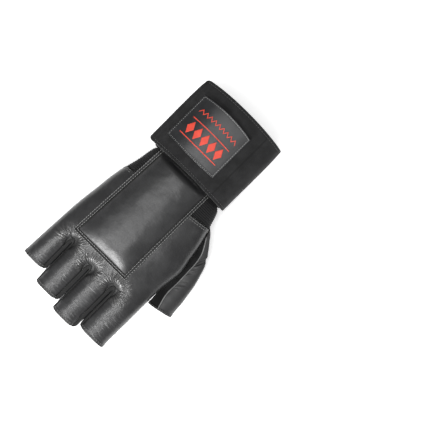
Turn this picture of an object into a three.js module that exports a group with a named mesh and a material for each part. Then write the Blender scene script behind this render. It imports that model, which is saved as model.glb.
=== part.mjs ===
// A fingerless skating glove for a right hand, lying palm down: a leather hand with a padded back and palm,
// strips between the fingers, a suede and leather thumb, ribbed stretch fabric, and a wide wrist strap.
// Millimetres. +Y runs to the fingertips, +X to the little finger, and +Z up from the surface it lies on.

import * as THREE from "three";

// Wall thicknesses and clearances
const LEATHER = 1.5;
const GUSSET_WALL = 1.3;
const SUEDE = 1.4;
const FABRIC = 1.4;
const CUFF_WALL = 1.6;
const STRAP_WALL = 1.8;
const SEAM_GAP = 0.3;
const PAD_GAP = 0.7;

// The tables below are moved by this much, so that the origin lies under the middle of the whole glove
const CENTRING = { x: -0.045, y: 0.04 };

// Roundness of the sections: 2 is an ellipse, more is squarer
const HAND_ROUNDNESS = 2.6;
const STALL_ROUNDNESS = 2.4;
const CUFF_ROUNDNESS = 2.7;

// Sections across the hand: its two outlines seen from above, the height of the side seam, and the heights of
// the back and the palm between them.
const HAND_SECTIONS = [
  { y: -58, thumbSide: -24.4, littleSide: 45.6, seam: 22, back: 35.5, palm: 8.5 },
  { y: -46, thumbSide: -26.2, littleSide: 47.4, seam: 22, back: 36.8, palm: 8 },
  { y: -41, thumbSide: -30.3, littleSide: 49.8, seam: 22, back: 38, palm: 7.5 },
  { y: -26, thumbSide: -35.6, littleSide: 52.2, seam: 22, back: 39, palm: 7 },
  { y: -10, thumbSide: -40, littleSide: 56.2, seam: 22, back: 39.5, palm: 7 },
  { y: 5, thumbSide: -42.9, littleSide: 58.8, seam: 22, back: 39.5, palm: 7 },
  { y: 18, thumbSide: -44.8, littleSide: 60.4, seam: 22, back: 39.5, palm: 7 },
  { y: 30, thumbSide: -43.9, littleSide: 62, seam: 22, back: 39, palm: 7 },
  { y: 45, thumbSide: -42.5, littleSide: 63.4, seam: 22, back: 38, palm: 7 },
  { y: 60, thumbSide: -42.4, littleSide: 64.3, seam: 21.5, back: 36, palm: 6.8 },
  { y: 75, thumbSide: -42.4, littleSide: 65.1, seam: 20.4, back: 33.2, palm: 6.4 },
  { y: 90, thumbSide: -42.4, littleSide: 66, seam: 18.4, back: 30.2, palm: 5.4 },
  { y: 105, thumbSide: -42.4, littleSide: 66.4, seam: 15.8, back: 27, palm: 3.8 },
  { y: 124, thumbSide: -42.4, littleSide: 66.4, seam: 12.2, back: 23, palm: 1.6 },
];

// Finger stalls: where the leather ends on the back and on the palm, and how high the stall rises beside the
// middle one.
const STALLS = [
  { name: "index", backEnd: 115.9, palmEnd: 100, rise: 0.96 },
  { name: "middle", backEnd: 121.6, palmEnd: 106, rise: 1 },
  { name: "ring", backEnd: 114.9, palmEnd: 102, rise: 0.97 },
  { name: "little", backEnd: 103.2, palmEnd: 93, rise: 0.88 },
];

// Slits between the stalls: where two stalls touch, the root of the slit, and how far the leather stops short
// of the touching line on each side, on the back and on the palm.
const SLITS = [
  { name: "index_middle", share: 0.2765, touch: -12.95, root: 68.2, thumbward: 2, littleward: 2, palmward: 2.4 },
  { name: "middle_ring", share: 0.534, touch: 14.6, root: 69.9, thumbward: 1, littleward: 2.4, palmward: 2.2 },
  { name: "ring_little", share: 0.788, touch: 41.75, root: 63.8, thumbward: 0.9, littleward: 2, palmward: 2.2 },
];
const SLIT_ROUNDING = 6;
const VALLEY_BEFORE = 14;
const VALLEY_AFTER = 16;
const TOUCH_CLEARANCE = 0.3;
const WEB_BULGE = 4;
const WEB_RISE = 0.6;
const WEB_FALL = 7;
const WEB_BLEND = 4;
const ROOT_TUCK = 2;
const END_DROP = 1.2;

// Lower edges of the leather: the back slopes from the thumb side to the little side
const BACK_HEM = { thumbSide: -25.6, littleSide: -14.2, measuredAt: -20 };
const PALM_HEM = 42.5;
const WRIST_END = -57;

// Grid steps, as shares of a run
const LANE_STEPS = [0, 0.1, 0.25, 0.5, 0.75, 0.9, 1];
const BODY_STEPS = [0, 0.14, 0.3, 0.46, 0.6, 0.71, 0.79, 0.85, 0.9, 0.95, 1];
const PALM_BODY_STEPS = [0, 0.35, 0.6, 0.8, 0.92, 1];
const STALL_STEPS = [0.03, 0.09, 0.18, 0.38, 0.6, 0.82, 1];
const RIB_STEPS = [0, 0.25, 0.4, 0.55, 0.8, 1];

// Pads: the corners of the cushion seen from above, the border round it, and how far it stands up
const BACK_PAD = {
  front: 54.2, rear: -48.5, rearThumb: -12.4, frontThumb: -11.6, frontLittle: 45.3, rearLittle: 39.8,
  border: 3.1, thick: 1.1, rim: 0.9, sideShoulder: 26, frontShoulder: 20, rearShoulder: 11,
  crown: 5.8, tuckFrom: -39, tuckTo: -46.5, tucked: 1.6,
};
const PALM_PAD = {
  front: 47, rear: -38.6, rearThumb: -5.8, frontThumb: -1.8, frontLittle: 49.6, rearLittle: 41.6,
  border: 4.4, thick: 1, rim: 1.2, sideShoulder: 10, frontShoulder: 10, rearShoulder: 10,
  crease: 15.6, creaseDepth: 2,
};
const PAD_ROUNDNESS = 2.2;
const PAD_STEEPNESS = 0.75;
const PAD_STEPS = [0, 0.04, 0.1, 0.18, 0.3, 0.5, 0.7, 0.82, 0.9, 0.96, 1];
const BORDER_STEPS_PER_SIDE = 9;

// Thumb: an oval end, and the loop where the suede leaves the hand. Each row of the loop is a place on the
// hand, the way the suede leaves it, and how strongly it is drawn to the thumb's axis at the end.
const THUMB_END = { x: -54.9, y: 56.4, z: 13.4, halfWidth: 11.4, halfHeight: 10.4, slant: 0.2, shortBelow: 3 };
const THUMB_AXIS = { x: -0.12, y: 0.99, z: -0.04 };
const THUMB_LOOP = [
  { turn: 0, x: -35.5, y: -26.4, outX: -90, outY: 80, outZ: -14, pull: 72 },
  { turn: 0.1, x: -40.3, y: -9, outX: -60, outY: 20, outZ: -12, pull: 66 },
  { turn: 0.25, x: -44.6, y: 15, outX: -16, outY: 16, outZ: -12, pull: 50 },
  { turn: 0.38, x: -43.9, y: 30, outX: -8, outY: 2, outZ: -16, pull: 44 },
  { turn: 0.5, x: -42.6, y: 41.4, outX: -6, outY: -70, outZ: -22, pull: 66 },
  { turn: 0.58, x: -31, y: 42, outX: -12, outY: -62, outZ: -6, pull: 66 },
  { turn: 0.66, x: -6.5, y: 41.8, outX: -46, outY: -36, outZ: -4, pull: 62 },
  { turn: 0.76, x: -7.5, y: 10, outX: -52, outY: 2, outZ: -4, pull: 62 },
  { turn: 0.88, x: -9.5, y: -31, outX: -70, outY: 22, outZ: -4, pull: 68 },
  { turn: 0.95, x: -26, y: -34, outX: -80, outY: 44, outZ: -6, pull: 72 },
  { turn: 1, x: -35.5, y: -26.4, outX: -90, outY: 80, outZ: -14, pull: 72 },
];
// The leather of the thumb, as turns round the thumb: its edge below the outline and its edge on top
const THUMB_LEATHER = [
  { along: 0, under: -0.012, over: 0.02 },
  { along: 0.12, under: -0.03, over: 0.1 },
  { along: 0.24, under: -0.045, over: 0.2 },
  { along: 0.36, under: -0.055, over: 0.25 },
  { along: 0.6, under: -0.06, over: 0.3 },
  { along: 1, under: -0.06, over: 0.27 },
];
const THUMB_STATIONS = [0, 0.06, 0.14, 0.24, 0.36, 0.5, 0.64, 0.78, 0.9, 1];
const LEATHER_TURNS = 8;
const SUEDE_TURNS = 18;
const LOOP_LENGTH = 190;
const END_LENGTH = 70;

// Wrist cuff: sections along it, then the binding round its end
const CUFF_CENTRE = { x: 10.85, z: 23 };
const CUFF_HALF_HEIGHT = 18.8;
const CUFF_SECTIONS = [
  { y: -42, halfWidth: 40 },
  { y: -63, halfWidth: 40.1 },
  { y: -85, halfWidth: 40.4 },
  { y: -107, halfWidth: 40.2 },
  { y: -122, halfWidth: 39.2 },
];
const CUFF_FRONT = { back: -46.2, palm: -43.6 };
const CUFF_END = -118.2;
const BINDING = { end: -119.6, depth: 4, wall: 0.8 };
const CUFF_TURNS = 36;

// Wrist strap: it starts low on the thumb side, crosses the back and ends free past the little-finger side
const STRAP = {
  clear: 1.6, fromAngle: 205, toAngle: 34, freeRun: 12.4, front: -45, frontBow: 1.8, end: -118.4, endBow: 3.3,
  corner: 3.5, bowCentre: 12.5, bowHalfWidth: 46,
};
const STRAP_TURNS = 24;
const STRAP_FREE_STEPS = [0.25, 0.5, 0.75, 0.86, 0.94, 1];
const STRAP_ROWS = [0, 0.25, 0.5, 0.75, 1];
const PATCH = {
  thumbSide: -6.2, littleSide: 49.6, front: -59.4, frontBow: 0.8, end: -105.9, endBow: 2.8,
  thick: 0.9, clear: 0.45,
};

// Pull loop: a cord sewn under the binding on the palm side, folded forward below the cuff
const LOOP_CORD = { diameter: 2.6, sides: 8, steps: 34 };
const LOOP_ROUTE = [
  { x: 9.6, y: -115.2, z: 2.4 },
  { x: 9.5, y: -112, z: 2.1 },
  { x: 9.2, y: -108, z: 1.5 },
  { x: 8.6, y: -103, z: 1.35 },
  { x: 7.9, y: -97.5, z: 1.35 },
  { x: 7.8, y: -92.5, z: 1.35 },
  { x: 9.2, y: -88, z: 1.35 },
  { x: 12.2, y: -85, z: 1.35 },
  { x: 16, y: -84.4, z: 1.35 },
  { x: 19.6, y: -86.2, z: 1.35 },
  { x: 21.6, y: -90, z: 1.35 },
  { x: 22, y: -94.8, z: 1.35 },
  { x: 21.6, y: -100, z: 1.35 },
  { x: 20.9, y: -105, z: 1.35 },
  { x: 20.3, y: -109.5, z: 1.7 },
  { x: 20, y: -112.6, z: 2.2 },
  { x: 20, y: -115.2, z: 2.4 },
];

const MATERIALS = {
  leather: new THREE.MeshStandardMaterial({ color: 0x2b2b2b, roughness: 0.42, metalness: 0 }),
  suede: new THREE.MeshStandardMaterial({ color: 0x1c1c1c, roughness: 0.95, metalness: 0 }),
  rib: new THREE.MeshStandardMaterial({ color: 0x161616, roughness: 0.9, metalness: 0 }),
  elastic: new THREE.MeshStandardMaterial({ color: 0x242424, roughness: 0.85, metalness: 0 }),
  patch: new THREE.MeshStandardMaterial({ color: 0x2e2e30, roughness: 0.35, metalness: 0 }),
  cord: new THREE.MeshStandardMaterial({ color: 0x1e1e1e, roughness: 0.8, metalness: 0 }),
};

const { clamp, lerp, smoothstep, degToRad } = THREE.MathUtils;

// A smooth curve through one column of a table, read at any place along another column.
function track(rows, along, column) {
  const slope = (i) => {
    const before = rows[Math.max(i - 1, 0)];
    const after = rows[Math.min(i + 1, rows.length - 1)];
    return (after[column] - before[column]) / (after[along] - before[along]);
  };
  return (place) => {
    const at = clamp(place, rows[0][along], rows[rows.length - 1][along]);
    const i = Math.min(Math.max(rows.findIndex((row) => row[along] >= at), 1), rows.length - 1) - 1;
    const run = rows[i + 1][along] - rows[i][along];
    const t = (at - rows[i][along]) / run;
    const onward = 3 * t ** 2 - 2 * t ** 3;
    const start = (1 - onward) * rows[i][column] + onward * rows[i + 1][column];
    return start + run * ((t ** 3 - 2 * t ** 2 + t) * slope(i) + (t ** 3 - t ** 2) * slope(i + 1));
  };
}

const thumbSideAt = track(HAND_SECTIONS, "y", "thumbSide");
const littleSideAt = track(HAND_SECTIONS, "y", "littleSide");
const seamAt = track(HAND_SECTIONS, "y", "seam");
const backAt = track(HAND_SECTIONS, "y", "back");
const palmAt = track(HAND_SECTIONS, "y", "palm");

// The two coordinates of a rounded-square arch at an angle: across it and up it, each from 0 to 1.
function arch(angle, roundness) {
  const power = 2 / roundness;
  const cos = Math.cos(angle);
  return {
    across: Math.sign(cos) * Math.abs(cos) ** power,
    up: Math.max(Math.sin(angle), 0) ** power,
  };
}

// The angle of the arch that stands over a share across it, from 1 on the thumb side to -1.
function archAngle(across, roundness) {
  const held = clamp(across, -1, 1);
  return Math.acos(Math.sign(held) * Math.abs(held) ** (roundness / 2));
}

// Line number 0 is the thumb-side outline, 1 to 3 are the slits, and 4 is the little-finger outline.
function touchLine(line, y) {
  if (line === 0) return thumbSideAt(y);
  if (line === 4) return littleSideAt(y);
  const slit = SLITS[line - 1];
  const inHand = lerp(thumbSideAt(y), littleSideAt(y), slit.share);
  return lerp(inHand, slit.touch, smoothstep(y, 30, slit.root - 6));
}

const rootOf = (line) => SLITS[clamp(line, 1, 3) - 1].root;

// How far a slit has opened at a place along the hand, from 0 at its root to 1.
function slitOpening(line, y) {
  const t = clamp((y - rootOf(line)) / SLIT_ROUNDING, 0, 1);
  return Math.sqrt(1 - (1 - t) ** 2);
}

// The edge of the leather beside a line, on the stall that lies towards the thumb or the little finger.
function leatherEdge(line, y, side, towardsLittle) {
  const touch = touchLine(line, y);
  if (line === 0 || line === 4) return touch;
  const slit = SLITS[line - 1];
  const onBack = towardsLittle ? slit.littleward : -slit.thumbward;
  const onPalm = towardsLittle ? slit.palmward : -slit.palmward;
  return touch + (side > 0 ? onBack : onPalm) * slitOpening(line, y);
}

// How much the hand has turned from one arch into a stall of its own, beside a line.
const stallShare = (line, y) => smoothstep(y, rootOf(line) - VALLEY_BEFORE, rootOf(line) + VALLEY_AFTER);

// How high the leather stands between two stalls round a slit's root, as a share of a whole stall.
const webRise = (line, y) =>
  line === 0 || line === 4 ? 0 : WEB_RISE * (1 - smoothstep(y, rootOf(line), rootOf(line) + WEB_FALL));

// A point of the hand's outer face. Side is 1 on the back and -1 on the palm, lane is the stall's number, and
// share goes across it from the thumb side.
function handPoint(side, lane, share, y) {
  const seam = seamAt(y);
  const height = side > 0 ? backAt(y) - seam : seam - palmAt(y);
  const from = leatherEdge(lane, y, side, true);
  const to = leatherEdge(lane + 1, y, side, false);
  const middle = (thumbSideAt(y) + littleSideAt(y)) / 2;
  const half = (littleSideAt(y) - thumbSideAt(y)) / 2;
  const handAngle = lerp(
    archAngle((middle - from) / half, HAND_ROUNDNESS),
    archAngle((middle - to) / half, HAND_ROUNDNESS),
    share,
  );
  const hand = arch(handAngle, HAND_ROUNDNESS);
  const left = touchLine(lane, y) + (lane > 0 ? TOUCH_CLEARANCE : 0);
  const right = touchLine(lane + 1, y) - (lane < 3 ? TOUCH_CLEARANCE : 0);
  const stallMiddle = (left + right) / 2;
  const stallHalf = (right - left) / 2;
  const stallAngle = lerp(
    archAngle((stallMiddle - from) / stallHalf, STALL_ROUNDNESS),
    archAngle((stallMiddle - to) / stallHalf, STALL_ROUNDNESS),
    share,
  );
  const stall = arch(stallAngle, STALL_ROUNDNESS);
  const web = lerp(webRise(lane, y), webRise(lane + 1, y), share);
  const stallUp = ((stall.up * STALLS[lane].rise) ** WEB_BLEND + web ** WEB_BLEND) ** (1 / WEB_BLEND);
  const blend = lerp(stallShare(lane, y), stallShare(lane + 1, y), share);
  const stallX = clamp(stallMiddle - stallHalf * stall.across, Math.min(from, to), Math.max(from, to));
  return new THREE.Vector3(
    lerp(middle - half * hand.across, stallX, blend),
    y,
    seam + side * (SEAM_GAP / 2 + height * lerp(hand.up, stallUp, blend)),
  );
}

// The height of the back or palm of the hand, away from the stalls, at a place seen from above.
function handHeight(side, x, y) {
  const middle = (thumbSideAt(y) + littleSideAt(y)) / 2;
  const half = (littleSideAt(y) - thumbSideAt(y)) / 2;
  const seam = seamAt(y);
  const height = side > 0 ? backAt(y) - seam : seam - palmAt(y);
  const up = arch(archAngle((middle - x) / half, HAND_ROUNDNESS), HAND_ROUNDNESS).up;
  return seam + side * (SEAM_GAP / 2 + height * up);
}

// The unit normal of a surface of two parameters, by small steps on either side.
function surfaceNormal(surface, u, v) {
  const step = 1e-3;
  const across = surface(Math.min(u + step, 1), v).sub(surface(Math.max(u - step, 0), v));
  const along = surface(u, Math.min(v + step, 1)).sub(surface(u, Math.max(v - step, 0)));
  return across.cross(along).normalize();
}

// A closed body from matching outer and inner points: both faces, and a wall along every open edge.
function closedBody(outer, inner, quads) {
  const faces = quads.flatMap(([a, b, c, d]) => [[a, b, c], [a, c, d]]);
  const edgesOf = ([a, b, c, d]) => [`${a},${b}`, `${b},${c}`, `${c},${d}`, `${d},${a}`];
  const directed = new Set(quads.flatMap(edgesOf));
  const count = outer.length;
  const all = [...faces, ...faces.map(([a, b, c]) => [count + a, count + c, count + b])];
  for (const edge of directed) {
    const [a, b] = edge.split(",").map(Number);
    if (!directed.has(`${b},${a}`)) all.push([b, a, count + a], [b, count + a, count + b]);
  }
  const points = [...outer, ...inner];
  const volume = all.reduce((sum, [a, b, c]) => sum + points[a].dot(points[b].clone().cross(points[c])), 0);
  const outward = volume > 0 ? all : all.map(([a, b, c]) => [a, c, b]);
  const geometry = new THREE.BufferGeometry().setFromPoints(points);
  geometry.setIndex(outward.flat());
  geometry.computeVertexNormals();
  return geometry;
}

// The quads of a grid of points, row by row; a ring joins its last column to its first.
function gridQuads(columns, rows, ring = false) {
  const quads = [];
  for (let row = 0; row + 1 < rows; row += 1) {
    for (let column = 0; column + (ring ? 0 : 1) < columns; column += 1) {
      const next = (column + 1) % columns;
      quads.push([
        row * columns + column,
        row * columns + next,
        (row + 1) * columns + next,
        (row + 1) * columns + column,
      ]);
    }
  }
  return quads;
}

// A closed body between an outer and an inner surface, both sampled at the same steps.
function layer(outerAt, innerAt, acrossSteps, alongSteps, ring = false) {
  const row = (surface, along) => acrossSteps.map((across) => surface(across, along));
  const sample = (surface) => alongSteps.flatMap((along) => row(surface, along));
  return closedBody(sample(outerAt), sample(innerAt), gridQuads(acrossSteps.length, alongSteps.length, ring));
}

const evenSteps = (count) => Array.from({ length: count + 1 }, (_, i) => i / count);
const ringSteps = (count) => Array.from({ length: count }, (_, i) => i / count);

// The level way into the stall from the edge of a slit, which turns round the slit's root.
function wayFromSlit(line, y, towardsLittle) {
  const turn = (Math.PI / 2) * clamp((y - rootOf(line)) / SLIT_ROUNDING, 0, 1);
  return new THREE.Vector3((towardsLittle ? 1 : -1) * Math.sin(turn), -Math.cos(turn), 0);
}

// The leather of the back or the palm: four stalls side by side that are one sheet up to the slits' roots.
function leatherHand(side, hemAt, endAt, bodySteps) {
  const rootRow = bodySteps.length - 1;
  const rows = bodySteps.length + STALL_STEPS.length;
  const last = LANE_STEPS.length - 1;
  const placeAlong = (lane, share, row) => {
    const root = lerp(rootOf(lane), rootOf(lane + 1), share);
    const hem = hemAt(handPoint(side, lane, share, BACK_HEM.measuredAt).x);
    if (row <= rootRow) return lerp(hem, root, bodySteps[row]);
    return lerp(root, endAt(lane, share), STALL_STEPS[row - rootRow - 1]);
  };
  const surface = (lane, share, row) => handPoint(side, lane, share, placeAlong(lane, share, row));
  const inwardAt = (lane, column, row) => {
    const share = LANE_STEPS[column];
    const y = placeAlong(lane, share, row);
    if (lane === 0 && column === 0) return new THREE.Vector3(1, 0, 0);
    if (lane === 3 && column === last) return new THREE.Vector3(-1, 0, 0);
    if (row >= rootRow && column === 0) return wayFromSlit(lane, y, true);
    if (row >= rootRow && column === last) return wayFromSlit(lane + 1, y, false);
    const step = 0.02;
    const across = handPoint(side, lane, Math.min(share + step, 1), y);
    across.sub(handPoint(side, lane, Math.max(share - step, 0), y));
    const along = handPoint(side, lane, share, y + 0.5).sub(handPoint(side, lane, share, y - 0.5));
    return across.cross(along).normalize().multiplyScalar(-side);
  };
  const outer = [];
  const inner = [];
  const number = new Map();
  const quads = [];
  const pointNumber = (lane, column, row) => {
    if (lane > 0 && column === 0 && row <= rootRow) return pointNumber(lane - 1, last, row);
    const key = `${lane},${column},${row}`;
    if (!number.has(key)) {
      const point = surface(lane, LANE_STEPS[column], row);
      number.set(key, outer.length);
      outer.push(point);
      inner.push(point.clone().addScaledVector(inwardAt(lane, column, row), LEATHER));
    }
    return number.get(key);
  };
  for (let lane = 0; lane < STALLS.length; lane += 1) {
    for (let row = 0; row + 1 < rows; row += 1) {
      for (let column = 0; column < last; column += 1) {
        quads.push([
          pointNumber(lane, column, row),
          pointNumber(lane, column + 1, row),
          pointNumber(lane, column + 1, row + 1),
          pointNumber(lane, column, row + 1),
        ]);
      }
    }
  }
  return closedBody(outer, inner, quads);
}

const backEndAt = (lane, share) => STALLS[lane].backEnd - END_DROP * Math.abs(2 * share - 1) ** 4;
const palmEndAt = (lane) => STALLS[lane].palmEnd;

// The hem's place along the hand, from a place across it at the section where the hem is measured.
function backHemAt(x) {
  const from = thumbSideAt(BACK_HEM.measuredAt);
  const share = (x - from) / (littleSideAt(BACK_HEM.measuredAt) - from);
  return lerp(BACK_HEM.thumbSide, BACK_HEM.littleSide, clamp(share, 0, 1));
}

// The strip between two stalls: it runs down one stall, round the slit's root and up the other.
function gusset(line) {
  const steps = [0, ...STALL_STEPS];
  const path = [...steps.slice(1).reverse().map((share) => -share), ...steps];
  const across = [0, 0.25, 0.5, 0.75, 1];
  const railPoint = (side, step) => {
    const towardsLittle = step >= 0;
    const lane = towardsLittle ? line : line - 1;
    const share = towardsLittle ? 0 : 1;
    const end = side > 0 ? backEndAt(lane, share) : palmEndAt(lane);
    const point = handPoint(side, lane, share, lerp(rootOf(line), end, Math.abs(step)));
    point.z -= side * (SEAM_GAP + ROOT_TUCK * (1 - Math.abs(step)) ** 8);
    return point;
  };
  const outerAt = (share, step) => {
    const point = railPoint(1, step).lerp(railPoint(-1, step), share);
    const bulge = 1 - (2 * share - 1) ** 4;
    const touch = touchLine(line, point.y) + Math.sign(step) * TOUCH_CLEARANCE;
    point.x = lerp(point.x, touch, bulge);
    point.y += WEB_BULGE * bulge * (1 - Math.abs(step)) ** 6;
    return point;
  };
  const innerAt = (share, step) => {
    const way = wayFromSlit(line, railPoint(1, step).y, step >= 0);
    return outerAt(share, step).addScaledVector(way, GUSSET_WALL);
  };
  return layer(outerAt, innerAt, across, path);
}

// Stretch fabric over a patch of the hand, from one line across it to another. Its side edges face level.
function fabricOver(side, fromX, toX, fromY, toY, acrossSteps, alongSteps) {
  const section = (across, y) => {
    const middle = (thumbSideAt(y) + littleSideAt(y)) / 2;
    const half = (littleSideAt(y) - thumbSideAt(y)) / 2;
    const angle = lerp(
      archAngle((middle - fromX(y)) / half, HAND_ROUNDNESS),
      archAngle((middle - toX(y)) / half, HAND_ROUNDNESS),
      across,
    );
    const point = arch(angle, HAND_ROUNDNESS);
    return { x: middle - half * point.across, up: point.up };
  };
  const outerAt = (across, along) => {
    const reference = section(across, BACK_HEM.measuredAt).x;
    const y = lerp(fromY(reference), toY(reference), along);
    const { x, up } = section(across, y);
    const height = side > 0 ? backAt(y) - seamAt(y) : seamAt(y) - palmAt(y);
    return new THREE.Vector3(x, y, seamAt(y) + side * (SEAM_GAP / 2 + height * up));
  };
  const innerAt = (across, along) => {
    const point = outerAt(across, along);
    const edge = across === 0 ? thumbSideAt(point.y) : littleSideAt(point.y);
    const onSeam = (across === 0 || across === 1) && Math.abs(point.x - edge) < 0.01;
    if (onSeam) return point.add(new THREE.Vector3((across === 0 ? 1 : -1) * FABRIC, 0, 0));
    return point.addScaledVector(surfaceNormal(outerAt, across, along), -side * FABRIC);
  };
  return layer(outerAt, innerAt, acrossSteps, alongSteps);
}

// The four corners of a pad's cushion, moved outwards by a margin, as a place for two shares.
function padPlace(pad, margin, across, along) {
  const thumbSide = lerp(pad.rearThumb, pad.frontThumb, along) - margin;
  const littleSide = lerp(pad.rearLittle, pad.frontLittle, along) + margin;
  return {
    x: lerp(thumbSide, littleSide, across),
    y: lerp(pad.rear - margin, pad.front + margin, along),
  };
}

// How full a cushion is at a distance from its edge: it rises steeply and levels off over its shoulder.
function fullness(distance, shoulder) {
  const t = clamp(distance / shoulder, 0, 1);
  return (1 - (1 - t) ** PAD_ROUNDNESS) ** PAD_STEEPNESS;
}

function padFullness(pad, across, along) {
  const width = pad.frontLittle - pad.frontThumb;
  const length = pad.front - pad.rear;
  const side = fullness(Math.min(across, 1 - across) * width, pad.sideShoulder);
  const front = fullness((1 - along) * length, pad.frontShoulder);
  const rear = fullness(along * length, pad.rearShoulder);
  return side * front * rear;
}

// The cushion on the back: domed, and drawn down where it passes under the strap.
function backCushion() {
  const outerAt = (across, along) => {
    const { x, y } = padPlace(BACK_PAD, 0, across, along);
    const tuck = smoothstep(-y, -BACK_PAD.tuckFrom, -BACK_PAD.tuckTo);
    const stand = lerp(BACK_PAD.crown, BACK_PAD.tucked - BACK_PAD.rim, tuck);
    const height = BACK_PAD.rim + stand * padFullness(BACK_PAD, across, along);
    return new THREE.Vector3(x, y, handHeight(1, x, y) + PAD_GAP + height);
  };
  const innerAt = (across, along) => {
    const { x, y } = padPlace(BACK_PAD, 0, across, along);
    return new THREE.Vector3(x, y, handHeight(1, x, y) + PAD_GAP);
  };
  return layer(outerAt, innerAt, PAD_STEPS, PAD_STEPS);
}

// The cushion on the palm: flat where the glove rests on it, with one sewn crease across.
function palmCushion() {
  const length = PALM_PAD.front - PALM_PAD.rear;
  const creaseShare = (PALM_PAD.crease - PALM_PAD.rear) / length;
  const creaseHalf = 3 / length;
  const alongSteps = [
    0, 0.05, 0.12, 0.22, 0.42, creaseShare - creaseHalf, creaseShare, creaseShare + creaseHalf,
    0.78, 0.88, 0.95, 1,
  ];
  const outerAt = (across, along) => {
    const { x, y } = padPlace(PALM_PAD, 0, across, along);
    const rim = handHeight(-1, x, y) - PAD_GAP - PALM_PAD.rim;
    const inCrease = Math.abs(along - creaseShare) < 1e-6 && across > 0.02 && across < 0.98;
    const full = padFullness(PALM_PAD, across, along);
    const bottom = lerp(rim, 0, full) + (inCrease ? PALM_PAD.creaseDepth * full : 0);
    return new THREE.Vector3(x, y, bottom);
  };
  const innerAt = (across, along) => {
    const { x, y } = padPlace(PALM_PAD, 0, across, along);
    return new THREE.Vector3(x, y, handHeight(-1, x, y) - PAD_GAP);
  };
  return layer(outerAt, innerAt, PAD_STEPS, alongSteps);
}

// The stitched border round a cushion: a flat frame that lies on the hand.
function padBorder(side, pad) {
  const corner = [[0, 0], [1, 0], [1, 1], [0, 1]];
  const loop = [];
  for (let edge = 0; edge < 4; edge += 1) {
    const [fromAcross, fromAlong] = corner[edge];
    const [toAcross, toAlong] = corner[(edge + 1) % 4];
    for (let step = 0; step < BORDER_STEPS_PER_SIDE; step += 1) {
      const share = step / BORDER_STEPS_PER_SIDE;
      loop.push({ across: lerp(fromAcross, toAcross, share), along: lerp(fromAlong, toAlong, share) });
    }
  }
  const pointAt = (offset) => (index, margin) => {
    const { across, along } = loop[index];
    const { x, y } = padPlace(pad, SEAM_GAP + margin * pad.border, across, along);
    return new THREE.Vector3(x, y, handHeight(side, x, y) + side * (PAD_GAP + offset));
  };
  return layer(pointAt(pad.thick), pointAt(0), loop.map((_, index) => index), [0, 0.5, 1], true);
}

// The thumb's surface: each line leaves the hand's loop and is drawn into the oval end, along from 0 to 1.
const loopColumn = (column) => track(THUMB_LOOP, "turn", column);
const THUMB_TRACKS = {
  outX: loopColumn("outX"),
  outY: loopColumn("outY"),
  outZ: loopColumn("outZ"),
  pull: loopColumn("pull"),
};

function loopPlace(turn) {
  const index = Math.max(THUMB_LOOP.findIndex((row) => row.turn >= turn), 1);
  const from = THUMB_LOOP[index - 1];
  const to = THUMB_LOOP[index];
  const share = (turn - from.turn) / (to.turn - from.turn);
  const y = lerp(from.y, to.y, share);
  const onOutline = turn <= 0.5;
  const x = onOutline ? thumbSideAt(y) : lerp(from.x, to.x, share);
  return new THREE.Vector3(x, y, handHeight(-1, x, y) - (onOutline ? SEAM_GAP : 0));
}

function thumbPoint(turnRound, along) {
  const turn = THREE.MathUtils.euclideanModulo(turnRound, 1);
  const start = loopPlace(turn);
  const leave = new THREE.Vector3(
    THUMB_TRACKS.outX(turn),
    THUMB_TRACKS.outY(turn),
    THUMB_TRACKS.outZ(turn),
  );
  const angle = Math.PI * (1 - 2 * turn);
  const end = new THREE.Vector3(
    THUMB_END.x + THUMB_END.halfWidth * Math.cos(angle),
    THUMB_END.y,
    THUMB_END.z + THUMB_END.halfHeight * Math.sin(angle),
  );
  end.y += THUMB_END.slant * (end.x - THUMB_END.x) - THUMB_END.shortBelow * Math.max(-Math.sin(angle), 0);
  const arrive = new THREE.Vector3(THUMB_AXIS.x, THUMB_AXIS.y, THUMB_AXIS.z).multiplyScalar(
    THUMB_TRACKS.pull(turn),
  );
  const point = start.multiplyScalar(2 * along ** 3 - 3 * along ** 2 + 1);
  point.addScaledVector(leave, along ** 3 - 2 * along ** 2 + along);
  point.addScaledVector(end, 3 * along ** 2 - 2 * along ** 3);
  point.addScaledVector(arrive, along ** 3 - along ** 2);
  return point;
}

// One of the two skins of the thumb, between two edges given as turns round it.
function thumbSkin(fromTurn, toTurn, turns, wall) {
  const turnAt = (across, along) => {
    const clearance = (1.5 * SEAM_GAP) / lerp(LOOP_LENGTH, END_LENGTH, along);
    return lerp(fromTurn(along) + clearance, toTurn(along) - clearance, across);
  };
  const outerAt = (across, along) => thumbPoint(turnAt(across, along), along);
  const innerAt = (across, along) => {
    const turn = turnAt(across, along);
    const normal = surfaceNormal((u, v) => thumbPoint(turn + u - 0.5, v), 0.5, along);
    return outerAt(across, along).addScaledVector(normal, -wall);
  };
  return layer(outerAt, innerAt, evenSteps(turns), THUMB_STATIONS);
}

const leatherUnder = track(THUMB_LEATHER, "along", "under");
const leatherOver = track(THUMB_LEATHER, "along", "over");

// A point round the wrist, a distance outside the cuff's outer face. Angle 0 is the little-finger side.
const cuffHalfWidthAt = track(CUFF_SECTIONS.map((row) => ({ ...row, back: -row.y })), "back", "halfWidth");

function wristPoint(angle, y, outside) {
  const upper = arch(angle, CUFF_ROUNDNESS);
  const up = Math.sin(angle) >= 0 ? upper.up : -(Math.abs(Math.sin(angle)) ** (2 / CUFF_ROUNDNESS));
  return new THREE.Vector3(
    CUFF_CENTRE.x + (cuffHalfWidthAt(-y) + outside) * upper.across,
    y,
    CUFF_CENTRE.z + (CUFF_HALF_HEIGHT + outside) * up,
  );
}

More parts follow.
